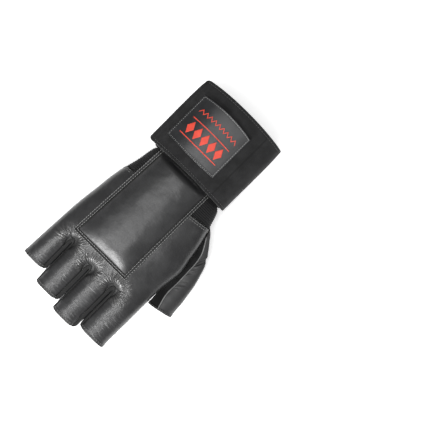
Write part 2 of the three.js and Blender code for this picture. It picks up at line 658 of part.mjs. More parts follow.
function cuff() {
  const faceAt = (outside) => (turn, along) => {
    const angle = 2 * Math.PI * turn;
    const front = lerp(CUFF_FRONT.palm, CUFF_FRONT.back, (1 + Math.sin(angle)) / 2);
    return wristPoint(angle, lerp(front, CUFF_END, along), outside);
  };
  return layer(faceAt(0), faceAt(-CUFF_WALL), ringSteps(CUFF_TURNS), [0, 0.25, 0.5, 0.75, 1], true);
}

// The binding: a folded tape round the cuff's end, seen as a closed outline swept round the wrist.
function cuffBinding() {
  const outside = SEAM_GAP;
  const inside = -CUFF_WALL - SEAM_GAP;
  const front = BINDING.end + BINDING.depth;
  const outline = [
    { out: outside, y: front },
    { out: outside + BINDING.wall, y: front },
    { out: outside + BINDING.wall, y: BINDING.end },
    { out: inside - BINDING.wall, y: BINDING.end },
    { out: inside - BINDING.wall, y: front },
    { out: inside, y: front },
    { out: inside, y: CUFF_END - SEAM_GAP },
    { out: outside, y: CUFF_END - SEAM_GAP },
  ];
  const points = [];
  for (const corner of outline) {
    for (const turn of ringSteps(CUFF_TURNS)) {
      points.push(wristPoint(2 * Math.PI * turn, corner.y, corner.out));
    }
  }
  const faces = gridQuads(CUFF_TURNS, outline.length, true);
  const lastRow = (outline.length - 1) * CUFF_TURNS;
  for (let column = 0; column < CUFF_TURNS; column += 1) {
    const next = (column + 1) % CUFF_TURNS;
    faces.push([lastRow + column, lastRow + next, next, column]);
  }
  const triangles = faces.flatMap(([a, b, c, d]) => [a, b, c, a, c, d]);
  const geometry = new THREE.BufferGeometry().setFromPoints(points);
  geometry.setIndex(triangles);
  geometry.computeVertexNormals();
  return geometry;
}

// The strap's line round the wrist, off the cuff: an arc over the back, then a straight free end.
function strapLine(y, outside) {
  const from = degToRad(STRAP.fromAngle);
  const to = degToRad(STRAP.toAngle);
  const points = evenSteps(STRAP_TURNS).map((share) => wristPoint(lerp(from, to, share), y, outside));
  const last = points[points.length - 1];
  const way = last.clone().sub(points[points.length - 2]).normalize();
  for (const share of STRAP_FREE_STEPS) points.push(last.clone().addScaledVector(way, share * STRAP.freeRun));
  return points;
}

// Where a row of the strap runs along the wrist: both edges are bowed, and the free end has round corners.
function strapRowAt(along, step) {
  const fromCentre = (strapLine(STRAP.front, 0)[step].x - STRAP.bowCentre) / STRAP.bowHalfWidth;
  const bow = Math.max(1 - fromCentre ** 2, 0);
  const freeShare = step <= STRAP_TURNS ? 0 : STRAP_FREE_STEPS[step - STRAP_TURNS - 1];
  const intoCorner = clamp(1 - ((1 - freeShare) * STRAP.freeRun) / STRAP.corner, 0, 1);
  const rounding = STRAP.corner * (1 - Math.sqrt(1 - intoCorner ** 2));
  const front = STRAP.front - STRAP.frontBow * bow - rounding;
  const end = STRAP.end - STRAP.endBow * bow + rounding;
  return lerp(front, end, along);
}

function strap() {
  const steps = Array.from({ length: STRAP_TURNS + STRAP_FREE_STEPS.length + 1 }, (_, i) => i);
  const faceAt = (outside) => (step, along) => strapLine(strapRowAt(along, step), outside)[step];
  return layer(faceAt(STRAP.clear + STRAP_WALL), faceAt(STRAP.clear), steps, STRAP_ROWS);
}

// The patch on the strap follows the strap's face between two places seen from above, with bowed ends.
function strapPatch() {
  const faceAt = (outside) => (across, along) => {
    const bow = 1 - (2 * across - 1) ** 2;
    const y = lerp(PATCH.front + PATCH.frontBow * bow, PATCH.end - PATCH.endBow * bow, along);
    const x = lerp(PATCH.thumbSide, PATCH.littleSide, across);
    const line = strapLine(y, outside);
    const index = Math.max(line.findIndex((point) => point.x >= x), 1);
    const from = line[index - 1];
    const to = line[index];
    return from.clone().lerp(to, (x - from.x) / (to.x - from.x));
  };
  const under = STRAP.clear + STRAP_WALL + PATCH.clear;
  return layer(faceAt(under + PATCH.thick), faceAt(under), evenSteps(14), evenSteps(2));
}

// The cord of the pull loop, swept along its route.
function pullLoop() {
  const route = new THREE.CatmullRomCurve3(LOOP_ROUTE.map(({ x, y, z }) => new THREE.Vector3(x, y, z)));
  const section = new THREE.Shape(
    ringSteps(LOOP_CORD.sides).map((turn) => {
      const angle = 2 * Math.PI * (turn + 0.5 / LOOP_CORD.sides);
      const radius = LOOP_CORD.diameter / 2;
      return new THREE.Vector2(radius * Math.cos(angle), radius * Math.sin(angle));
    }),
  );
  return new THREE.ExtrudeGeometry(section, { steps: LOOP_CORD.steps, extrudePath: route, curveSegments: 1 });
}

const glove = new THREE.Group();
glove.position.set(CENTRING.x, CENTRING.y, 0);

function addPiece(name, geometry, material) {
  const mesh = new THREE.Mesh(geometry, material);
  mesh.name = name;
  glove.add(mesh);
  return mesh;
}

addPiece("back_panel", leatherHand(1, backHemAt, backEndAt, BODY_STEPS), MATERIALS.leather);
addPiece("palm_panel", leatherHand(-1, () => PALM_HEM, palmEndAt, PALM_BODY_STEPS), MATERIALS.leather);
SLITS.forEach((slit, index) => addPiece(`finger_gusset_${slit.name}`, gusset(index + 1), MATERIALS.leather));

const hemBelow = (x) => backHemAt(x) - SEAM_GAP;
const fabricSteps = [0, 0.05, 0.12, 0.2, 0.3, 0.4, 0.5, 0.6, 0.7, 0.8, 0.88, 0.95, 1];
addPiece(
  "wrist_rib",
  fabricOver(1, thumbSideAt, littleSideAt, () => WRIST_END, hemBelow, fabricSteps, RIB_STEPS),
  MATERIALS.rib,
);
const suedeEdgeAt = (y) => lerp(-9.5, -6.5, clamp((y + 31) / 73, 0, 1)) + 2 * SEAM_GAP;
addPiece(
  "palm_fabric",
  fabricOver(
    -1,
    suedeEdgeAt,
    littleSideAt,
    () => WRIST_END,
    () => PALM_HEM - SEAM_GAP,
    [0, 0.3, 0.55, 0.75, 0.87, 0.94, 1],
    [0, 0.11, 0.17, 0.35, 0.55, 0.75, 1],
  ),
  MATERIALS.rib,
);

addPiece("thumb_leather", thumbSkin(leatherUnder, leatherOver, LEATHER_TURNS, LEATHER), MATERIALS.leather);
addPiece(
  "thumb_suede",
  thumbSkin(leatherOver, (along) => 1 + leatherUnder(along), SUEDE_TURNS, SUEDE),
  MATERIALS.suede,
);

addPiece("back_pad", backCushion(), MATERIALS.leather);
addPiece("back_pad_border", padBorder(1, BACK_PAD), MATERIALS.leather);
addPiece("palm_pad", palmCushion(), MATERIALS.leather);
addPiece("palm_pad_border", padBorder(-1, PALM_PAD), MATERIALS.leather);

addPiece("wrist_cuff", cuff(), MATERIALS.elastic);
addPiece("cuff_binding", cuffBinding(), MATERIALS.elastic);
addPiece("wrist_strap", strap(), MATERIALS.elastic);
addPiece("strap_patch", strapPatch(), MATERIALS.patch);
addPiece("pull_loop", pullLoop(), MATERIALS.cord);

export default glove;
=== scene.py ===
"""Looks of a fingerless skating glove that lies palm down: fine meshes, stitching, finishes and studio.

Lengths are in metres. The tables of the glove's form are written in millimetres, as a glove maker reads them,
and a Table gives its columns back in metres. +Y runs to the fingertips, +X to the little finger, +Z is up.
"""

import logging
import math
from collections.abc import Callable, Mapping, Sequence
from dataclasses import dataclass, field
from enum import Enum

import bpy
import numpy as np
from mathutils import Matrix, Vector
from mathutils.kdtree import KDTree


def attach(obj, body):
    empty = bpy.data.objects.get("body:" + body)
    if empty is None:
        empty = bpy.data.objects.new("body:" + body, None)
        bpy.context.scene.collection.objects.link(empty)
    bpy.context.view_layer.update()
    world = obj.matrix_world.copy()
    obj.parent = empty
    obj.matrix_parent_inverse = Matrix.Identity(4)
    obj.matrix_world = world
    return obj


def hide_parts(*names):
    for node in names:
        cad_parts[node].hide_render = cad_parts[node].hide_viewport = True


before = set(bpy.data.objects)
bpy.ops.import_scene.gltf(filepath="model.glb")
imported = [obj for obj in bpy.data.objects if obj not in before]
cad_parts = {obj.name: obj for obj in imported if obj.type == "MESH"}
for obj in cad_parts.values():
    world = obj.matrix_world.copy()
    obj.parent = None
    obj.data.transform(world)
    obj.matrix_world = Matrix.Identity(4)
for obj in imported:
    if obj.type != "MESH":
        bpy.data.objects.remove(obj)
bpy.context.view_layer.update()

log = logging.getLogger("glove")

Array = np.ndarray
Measure = Array | float
Pair = tuple[float, float]
Triple = tuple[float, float, float]
Colour = Triple
MM = 0.001
# The tables are moved by this much, so that the origin lies under the middle of the whole glove
CENTRING = np.array([-0.045, 0.04, 0.0]) * MM


class Side(Enum):
    """Face of the hand that a piece lies on; the value is the way up from the side seam."""

    BACK = 1
    PALM = -1


def lerp(start: Measure, end: Measure, share: Measure) -> Measure:
    """Place between two values at a share of the way."""
    return start + (end - start) * share


def smoothstep(value: Measure, low: float, high: float) -> Array:
    """Soft step from 0 to 1 between two limits."""
    share = np.clip((value - low) / (high - low), 0, 1)
    return share * share * (3 - 2 * share)


def fade(value: Measure, low: float, high: float) -> Array:
    """Soft step from 1 to 0 between two limits."""
    return 1 - smoothstep(value, low, high)


def bell(distance: Array, width: float) -> Array:
    """Soft ridge of height 1 about distance 0."""
    return np.exp(-((distance / width) ** 2))


def xyz(x: Measure, y: Measure, z: Measure) -> Array:
    """Points from their coordinates."""
    return np.stack([x, y, z], axis=-1)


def unit(vectors: Array) -> Array:
    """Vectors of length 1 along the last axis."""
    return vectors / np.maximum(np.linalg.norm(vectors, axis=-1, keepdims=True), 1e-12)


def steps(length: float, coarse: float, fine: float, margin: float) -> Array:
    """Places from 0 to 1 along a run, close together near both of its ends.

    Args:
        length: Length of the run.
        coarse: Spacing in its middle.
        fine: Spacing within the margin of each end.
        margin: How far the fine spacing reaches in from an end.

    Returns:
        Rising places, first 0 and last 1.
    """
    edge = np.linspace(0, margin, max(round(margin / fine), 1), endpoint=False)
    middle = np.linspace(margin, length - margin, max(int((length - 2 * margin) / coarse), 2) + 1)
    return np.concatenate([edge, middle, length - edge[::-1]]) / length


class Track:
    """Smooth curve through values at rising places."""

    def __init__(self, places: Array, values: Array) -> None:
        """Keeps the places, the values and the slope at each."""
        self.places = places
        self.values = values
        before = np.maximum(np.arange(len(places)) - 1, 0)
        after = np.minimum(np.arange(len(places)) + 1, len(places) - 1)
        self.slopes = (values[after] - values[before]) / (places[after] - places[before])

    def __call__(self, place: Measure) -> Array:
        """Value of the curve at a place, held at its ends."""
        at = np.clip(place, self.places[0], self.places[-1])
        i = np.clip(np.searchsorted(self.places, at) - 1, 0, len(self.places) - 2)
        run = self.places[i + 1] - self.places[i]
        t = (at - self.places[i]) / run
        level = (2 * t**3 - 3 * t**2 + 1) * self.values[i] + (3 * t**2 - 2 * t**3) * self.values[i + 1]
        lean = (t**3 - 2 * t**2 + t) * self.slopes[i] + (t**3 - t**2) * self.slopes[i + 1]
        return level + run * lean


@dataclass(frozen=True)
class Table:
    """Rows of named columns, in millimetres apart from the columns named as shares."""

    columns: tuple[str, ...]
    rows: tuple[tuple[float, ...], ...]
    shares: tuple[str, ...] = ()

    def column(self, name: str) -> Array:
        """Values of one column, in metres or as shares."""
        values = np.array([row[self.columns.index(name)] for row in self.rows], float)
        return values if name in self.shares else values * MM

    def track(self, along: str, name: str) -> Track:
        """Smooth curve through one column, along another."""
        return Track(self.column(along), self.column(name))


class Mottle:
    """Seeded smooth noise in space, from about -1 to 1."""

    SIZE = 4096

    def __init__(self, seed: int) -> None:
        """Draws the values at the noise's lattice."""
        self.values = np.random.default_rng(seed).uniform(-1, 1, self.SIZE)

    def __call__(self, points: Array, size: float) -> Array:
        """Noise at each point.

        Args:
            points: Places, one row each.
            size: Width of a blotch.

        Returns:
            One value for each point.
        """
        scaled = points / size
        cell = np.floor(scaled).astype(np.int64)
        share = scaled - cell
        share = share**3 * (share * (share * 6 - 15) + 10)
        total = np.zeros(len(points))
        for corner in np.ndindex(2, 2, 2):
            at = cell + corner
            number = at[:, 0] * 73856093 ^ at[:, 1] * 19349663 ^ at[:, 2] * 83492791
            weight = np.prod(np.where(corner, share, 1 - share), axis=1)
            total += weight * self.values[number % self.SIZE]
        return total


# Sections across the hand: its two outlines from above, the side seam, and the back and palm between them
HAND_SECTIONS = Table(
    ("y", "thumb_side", "little_side", "seam", "back", "palm"),
    (
        (-58, -24.4, 45.6, 22, 35.5, 8.5),
        (-46, -26.2, 47.4, 22, 36.8, 8),
        (-41, -30.3, 49.8, 22, 38, 7.5),
        (-26, -35.6, 52.2, 22, 39, 7),
        (-10, -40, 56.2, 22, 39.5, 7),
        (5, -42.9, 58.8, 22, 39.5, 7),
        (18, -44.8, 60.4, 22, 39.5, 7),
        (30, -43.9, 62, 22, 39, 7),
        (45, -42.5, 63.4, 22, 38, 7),
        (60, -42.4, 64.3, 21.5, 36, 6.8),
        (75, -42.4, 65.1, 20.4, 33.2, 6.4),
        (90, -42.4, 66, 18.4, 30.2, 5.4),
        (105, -42.4, 66.4, 15.8, 27, 3.8),
        (124, -42.4, 66.4, 12.2, 23, 1.6),
    ),
)

# Finger stalls from the index to the little finger
STALLS = Table(
    ("back_end", "palm_end", "rise"),
    ((115.9, 100, 0.96), (121.6, 106, 1), (114.9, 102, 0.97), (103.2, 93, 0.88)),
    ("rise",),
)

# Slits between the stalls: where the stalls touch, the root, and how far the leather stops short on each side
SLITS = Table(
    ("share", "touch", "root", "thumbward", "littleward", "palmward"),
    (
        (0.2765, -12.95, 68.2, 2, 2, 2.4),
        (0.534, 14.6, 69.9, 1, 2.4, 2.2),
        (0.788, 41.75, 63.8, 0.9, 2, 2.2),
    ),
    ("share",),
)

# The loop where the thumb's skins leave the hand, and the way and pull of the lines that run to its end
THUMB_LOOP = Table(
    ("turn", "x", "y", "out_x", "out_y", "out_z", "pull"),
    (
        (0, -35.5, -26.4, -90, 80, -14, 72),
        (0.1, -40.3, -9, -60, 20, -12, 66),
        (0.25, -44.6, 15, -16, 16, -12, 50),
        (0.38, -43.9, 30, -8, 2, -16, 44),
        (0.5, -42.6, 41.4, -6, -70, -22, 66),
        (0.58, -31, 42, -12, -62, -6, 66),
        (0.66, -6.5, 41.8, -46, -36, -4, 62),
        (0.76, -7.5, 10, -52, 2, -4, 62),
        (0.88, -9.5, -31, -70, 22, -4, 68),
        (0.95, -26, -34, -80, 44, -6, 72),
        (1, -35.5, -26.4, -90, 80, -14, 72),
    ),
    ("turn",),
)
THUMB_LEATHER = Table(
    ("along", "under", "over"),
    (
        (0, -0.012, 0.02),
        (0.12, -0.03, 0.1),
        (0.24, -0.045, 0.2),
        (0.36, -0.055, 0.25),
        (0.6, -0.06, 0.3),
        (1, -0.06, 0.27),
    ),
    ("along", "under", "over"),
)

CUFF_SECTIONS = Table(
    ("back", "half_width"),
    ((42, 40), (63, 40.1), (85, 40.4), (107, 40.2), (122, 39.2)),
)

LOOP_ROUTE = Table(
    ("x", "y", "z"),
    (
        (9.6, -115.2, 2.4), (9.5, -112, 2.1), (9.2, -108, 1.5), (8.6, -103, 1.35),
        (7.9, -97.5, 1.35), (7.8, -92.5, 1.35), (9.2, -88, 1.35), (12.2, -85, 1.35),
        (16, -84.4, 1.35), (19.6, -86.2, 1.35), (21.6, -90, 1.35), (22, -94.8, 1.35),
        (21.6, -100, 1.35), (20.9, -105, 1.35), (20.3, -109.5, 1.7), (20, -112.6, 2.2),
        (20, -115.2, 2.4),
    ),
)


def arch(angle: Array, roundness: float) -> tuple[Array, Array]:
    """Rounded-square arch at an angle.

    Args:
        angle: Angle from the side that is left of the middle, in radians.
        roundness: 2 is an ellipse, more is squarer.

    Returns:
        How far across the arch, from -1 to 1, and how far up, from 0 to 1.
    """
    cosine = np.cos(angle)
    across = np.sign(cosine) * np.abs(cosine) ** (2 / roundness)
    return across, np.maximum(np.sin(angle), 0) ** (2 / roundness)


def arch_angle(across: Array, roundness: float) -> Array:
    """Angle of the arch over a place across it, from 1 on the thumb side to -1."""
    held = np.clip(across, -1, 1)
    return np.arccos(np.sign(held) * np.abs(held) ** (roundness / 2))


def arch_run(middle: Array, half: Array, ends: Sequence[Array], share: Array, roundness: float) -> tuple:
    """Places on an arch, at shares of the angle between two places under it."""
    first, last = (arch_angle((middle - place) / half, roundness) for place in ends)
    return arch(lerp(first, last, share), roundness)


@dataclass
class HandForm:
    """Outer face of the hand: one arch over the hand that turns into four stall arches."""

    hand_roundness: float = 2.6
    stall_roundness: float = 2.4
    seam_gap: float = 0.3 * MM
    slit_rounding: float = 6 * MM
    valley_before: float = 14 * MM
    valley_after: float = 16 * MM
    touch_clearance: float = 0.3 * MM
    touch_from: float = 30 * MM
    web_rise: float = 0.6
    web_fall: float = 7 * MM
    web_blend: float = 4
    end_drop: float = 1.2 * MM
    palm_hem: float = 42.5 * MM
    back_hem: Pair = (-25.6 * MM, -14.2 * MM)
    hem_measured_at: float = -20 * MM

    def __post_init__(self) -> None:
        """Makes the curves through the tables."""
        self.thumb_side = HAND_SECTIONS.track("y", "thumb_side")
        self.little_side = HAND_SECTIONS.track("y", "little_side")
        self.seam = HAND_SECTIONS.track("y", "seam")
        self.levels = {
            Side.BACK: HAND_SECTIONS.track("y", "back"),
            Side.PALM: HAND_SECTIONS.track("y", "palm"),
        }
        self.roots = SLITS.column("root")
        self.rises = STALLS.column("rise")

    def root(self, line: int) -> float:
        """Root of the slit on a line; the outlines take that of their neighbour."""
        return float(self.roots[min(max(line, 1), 3) - 1])

    def middle(self, y: Array) -> tuple[Array, Array]:
        """Middle of the hand across it, and half its width."""
        thumb_side, little_side = self.thumb_side(y), self.little_side(y)
        return (thumb_side + little_side) / 2, (little_side - thumb_side) / 2

    def touch(self, line: int, y: Array) -> Array:
        """Place across the hand of line 0 to 4: the thumb side, the three slits and the little side."""
        if line == 0:
            return self.thumb_side(y)
        if line == 4:
            return self.little_side(y)
        in_hand = lerp(self.thumb_side(y), self.little_side(y), SLITS.column("share")[line - 1])
        share = smoothstep(y, self.touch_from, self.root(line) - 6 * MM)
        return lerp(in_hand, SLITS.column("touch")[line - 1], share)

    def opening(self, line: int, y: Array, inward: Measure) -> Array:
        """How far a slit has opened, from 0 at its root to 1; it starts softly inward of the slit's edge."""
        share = np.clip((y - self.root(line)) / self.slit_rounding, 0, 1)
        soft = smoothstep(y, self.root(line) - self.slit_rounding, self.root(line) + self.slit_rounding)
        return lerp(np.sqrt(1 - (1 - share) ** 2), soft, smoothstep(inward, 0, 0.35))

    def edge(self, line: int, y: Array, side: Side, towards_little: bool, inward: Measure) -> Array:
        """Edge of the leather beside a line, on the stall towards the thumb or the little finger."""
        touch = self.touch(line, y)
        if line in (0, 4):
            return touch
        column = "palmward" if side is Side.PALM else "littleward" if towards_little else "thumbward"
        short = SLITS.column(column)[line - 1] * (1 if towards_little else -1)
        return touch + short * self.opening(line, y, inward)

    def web(self, line: int, y: Array) -> Array:
        """How high the leather stands between two stalls round a slit's root, as a share of a whole stall."""
        fall = smoothstep(y, self.root(line), self.root(line) + self.web_fall)
        return (0 if line in (0, 4) else self.web_rise) * (1 - fall)

    def stall_share(self, line: int, y: Array) -> Array:
        """How much the hand has turned into stalls beside a line."""
        return smoothstep(y, self.root(line) - self.valley_before, self.root(line) + self.valley_after)

    def point(self, side: Side, lane: int, share: Array, y: Array) -> Array:
        """Points of the outer face.

        Args:
            side: Back or palm.
            lane: Number of the stall, from the index finger.
            share: Place across the lane, from the thumb side.
            y: Place along the hand.

        Returns:
            Points, with one more axis than share and y.
        """
        share, y = np.broadcast_arrays(share, y)
        ends = self.edge(lane, y, side, True, share), self.edge(lane + 1, y, side, False, 1 - share)
        middle, half = self.middle(y)
        hand_across, hand_up = arch_run(middle, half, ends, share, self.hand_roundness)
        left = self.touch(lane, y) + (self.touch_clearance if lane > 0 else 0)
        right = self.touch(lane + 1, y) - (self.touch_clearance if lane < 3 else 0)
        stall_middle, stall_half = (left + right) / 2, (right - left) / 2
        stall_across, stall_up = arch_run(stall_middle, stall_half, ends, share, self.stall_roundness)
        web = lerp(self.web(lane, y), self.web(lane + 1, y), share)
        power = self.web_blend
        lifted = ((stall_up * self.rises[lane]) ** power + web**power) ** (1 / power)
        blend = lerp(self.stall_share(lane, y), self.stall_share(lane + 1, y), share)
        stall_x = np.clip(stall_middle - stall_half * stall_across, np.minimum(*ends), np.maximum(*ends))
        seam = self.seam(y)
        height = np.abs(self.levels[side](y) - seam)
        up = lerp(hand_up, lifted, blend)
        z = seam + side.value * (self.seam_gap / 2 + height * up)
        return xyz(lerp(middle - half * hand_across, stall_x, blend), y, z)

    def height(self, side: Side, x: Array, y: Array) -> Array:
        """Height of the back or palm, away from the stalls, at a place seen from above."""
        middle, half = self.middle(y)
        seam = self.seam(y)
        level = np.abs(self.levels[side](y) - seam)
        up = arch(arch_angle((middle - x) / half, self.hand_roundness), self.hand_roundness)[1]
        return seam + side.value * (self.seam_gap / 2 + level * up)

    def on_face(self, side: Side, x: Array, y: Array, outside: Measure) -> Array:
        """Points a height outside the face, at places seen from above."""
        x, y = np.broadcast_arrays(x, y)
        return xyz(x, y, self.height(side, x, y) + side.value * outside)

    def face_normal(self, side: Side, x: Array, y: Array) -> Array:
        """Outward normals of the face at places seen from above."""
        step = 0.3 * MM
        along_x = self.on_face(side, x + step, y, 0) - self.on_face(side, x - step, y, 0)
        along_y = self.on_face(side, x, y + step, 0) - self.on_face(side, x, y - step, 0)
        return unit(np.cross(along_x, along_y)) * side.value

    def stall_end(self, side: Side, lane: int, share: Array) -> Array:
        """Where the leather of a stall ends."""
        if side is Side.PALM:
            return np.full(np.shape(share), STALLS.column("palm_end")[lane])
        return STALLS.column("back_end")[lane] - self.end_drop * np.abs(2 * share - 1) ** 4

    def slit_edges(self, side: Side, line: int, share: Array) -> list[Array]:
        """Edges of the leather on both sides of a slit, from its root, 0, to the ends of the stalls, 1."""
        edges = []
        for lane, across in ((line - 1, 1.0), (line, 0.0)):
            y = lerp(self.root(line), self.stall_end(side, lane, np.array(across)), share)
            edges.append(self.point(side, lane, np.full(len(y), across), y))
        return edges

    def hem_at(self, x: Array) -> Array:
        """Back hem's place along the hand, from a place across it where the hem is measured."""
        start = self.thumb_side(self.hem_measured_at)
        share = (x - start) / (self.little_side(self.hem_measured_at) - start)
        return lerp(self.back_hem[0], self.back_hem[1], np.clip(share, 0, 1))

    def hem_of(self, side: Side, lane: int, share: Array) -> Array:
        """Lower edge of the leather in a lane."""
        if side is Side.PALM:
            return np.full(np.shape(share), self.palm_hem)
        return self.hem_at(self.point(side, lane, share, self.hem_measured_at)[..., 0])


HAND = HandForm()


@dataclass
class ThumbForm:
    """Surface of the thumb: lines that leave a loop on the hand and are drawn into an oval end."""

    end: Triple = (-54.9 * MM, 56.4 * MM, 13.4 * MM)
    half_width: float = 11.4 * MM
    half_height: float = 10.4 * MM
    slant: float = 0.2
    short_below: float = 3 * MM
    axis: Triple = (-0.12, 0.99, -0.04)
    normal_steps: Pair = (0.002, 0.01)

    def __post_init__(self) -> None:
        """Makes the curves through the loop's table."""
        self.out = [THUMB_LOOP.track("turn", name) for name in ("out_x", "out_y", "out_z")]
        self.pull = THUMB_LOOP.track("turn", "pull")
        self.under = THUMB_LEATHER.track("along", "under")
        self.over = THUMB_LEATHER.track("along", "over")

    def start(self, turn: Array) -> Array:
        """Where a line leaves the hand."""
        turns = THUMB_LOOP.column("turn")
        y = np.interp(turn, turns, THUMB_LOOP.column("y"))
        on_outline = turn <= 0.5
        x = np.where(on_outline, HAND.thumb_side(y), np.interp(turn, turns, THUMB_LOOP.column("x")))
        z = HAND.height(Side.PALM, x, y) - np.where(on_outline, HAND.seam_gap, 0)
        return xyz(x, y, z)

    def point(self, turns: Array, along: Array) -> Array:
        """Points of the thumb.

        Args:
            turns: Place round the thumb, in turns from its lower outline, over the top.
            along: Place from the hand, 0, to the end, 1.

        Returns:
            Points, with one more axis than the places.
        """
        turns, along = np.broadcast_arrays(turns, along)
        turn = np.mod(turns, 1)
        angle = np.pi * (1 - 2 * turn)
        cosine, sine = np.cos(angle), np.sin(angle)
        y = self.end[1] + self.slant * self.half_width * cosine - self.short_below * np.maximum(-sine, 0)
        end = xyz(self.end[0] + self.half_width * cosine, y, self.end[2] + self.half_height * sine)
        leave = np.stack([track(turn) for track in self.out], axis=-1)
        arrive = np.array(self.axis) * self.pull(turn)[..., None]
        t = along[..., None]
        point = self.start(turn) * (2 * t**3 - 3 * t**2 + 1) + leave * (t**3 - 2 * t**2 + t)
        return point + end * (3 * t**2 - 2 * t**3) + arrive * (t**3 - t**2)

    def normal(self, turns: Array, along: Array) -> Array:
        """Outward normals of the thumb."""
        turn, step = self.normal_steps
        across = self.point(turns + turn, along) - self.point(turns - turn, along)
        after, before = np.minimum(along + step, 1), np.maximum(along - step, 0)
        onward = self.point(turns, after) - self.point(turns, before)
        return unit(np.cross(across, onward))


THUMB = ThumbForm()


@dataclass
class WristForm:
    """Rounded-square tube of the wrist, and the strap's line over it."""

    centre_x: float = 10.85 * MM
    centre_z: float = 23 * MM
    half_height: float = 18.8 * MM
    roundness: float = 2.7
    strap_clear: float = 1.6 * MM
    strap_wall: float = 1.8 * MM
    from_angle: float = math.radians(205)
    to_angle: float = math.radians(34)
    end_chord: float = 1 / 24
    free_run: float = 12.4 * MM
    front: float = -45 * MM
    front_bow: float = 1.8 * MM
    end: float = -118.4 * MM
    end_bow: float = 3.3 * MM
    corner: float = 3.5 * MM
    bow_centre: float = 12.5 * MM
    bow_half_width: float = 46 * MM

    def __post_init__(self) -> None:
        """Makes the curve through the cuff's sections, and places the strap's outer face."""
        self.half_width = CUFF_SECTIONS.track("back", "half_width")
        self.strap_face = self.strap_clear + self.strap_wall

    def point(self, angle: Array, y: Array, outside: Measure) -> Array:
        """Points round the wrist, outside the cuff's face; angle 0 is the little-finger side."""
        angle, y = np.broadcast_arrays(angle, y)
        cosine, sine = np.cos(angle), np.sin(angle)
        across = np.sign(cosine) * np.abs(cosine) ** (2 / self.roundness)
        up = np.sign(sine) * np.abs(sine) ** (2 / self.roundness)
        x = self.centre_x + (self.half_width(-y) + outside) * across
        return xyz(x, y, self.centre_z + (self.half_height + outside) * up)

    def axis(self, points: Array) -> Array:
        """Points of the wrist's middle line beside the points given."""
        return points * [0, 1, 0] + np.array([self.centre_x, 0, self.centre_z])

    def way_out(self, y: Array, outside: Measure) -> Array:
        """Way of the strap's free end, in line with the last stretch of its arc."""
        before = lerp(self.to_angle, self.from_angle, self.end_chord)
        return unit(self.point(self.to_angle, y, outside) - self.point(before, y, outside))

    def line(self, place: Array, y: Array, outside: Measure) -> Array:
        """Points of the strap's line: place runs from 0 to 1 on the arc, and on to 2 on the free end."""
        place, y = np.broadcast_arrays(place, y)
        angle = lerp(self.from_angle, self.to_angle, np.minimum(place, 1))
        free = np.maximum(place - 1, 0)[..., None] * self.free_run
        return self.point(angle, y, outside) + self.way_out(y, outside) * free

    def row(self, place: Array, along: Array, inset: Measure = 0.0) -> Array:
        """Place along the wrist of a row of the strap, with bowed edges and a rounded free end."""
        from_centre = (self.line(place, self.front, 0)[..., 0] - self.bow_centre) / self.bow_half_width
        bow = np.maximum(1 - from_centre**2, 0)
        free = np.clip(place - 1, 0, 1)
        into = np.clip(1 - (1 - free) * self.free_run / self.corner, 0, 1) * (place > 1)
        rounding = self.corner * (1 - np.sqrt(1 - into**2))
        return lerp(
            self.front - self.front_bow * bow - rounding - inset,
            self.end - self.end_bow * bow + rounding + inset,
            along,
        )

    def over(self, x: Array, y: Array, outside: Measure) -> Array:
        """Points of the strap's line at places seen from above."""
        x, y = np.broadcast_arrays(x, y)
        across = (x - self.centre_x) / (self.half_width(-y) + outside)
        on_arc = self.point(arch_angle(across, self.roundness), y, outside)
        last = self.point(self.to_angle, y, outside)
        way = self.way_out(y, outside)
        on_free = last + way * ((x - last[..., 0]) / way[..., 0])[..., None]
        return np.where((x > last[..., 0])[..., None], on_free, on_arc)


WRIST = WristForm()


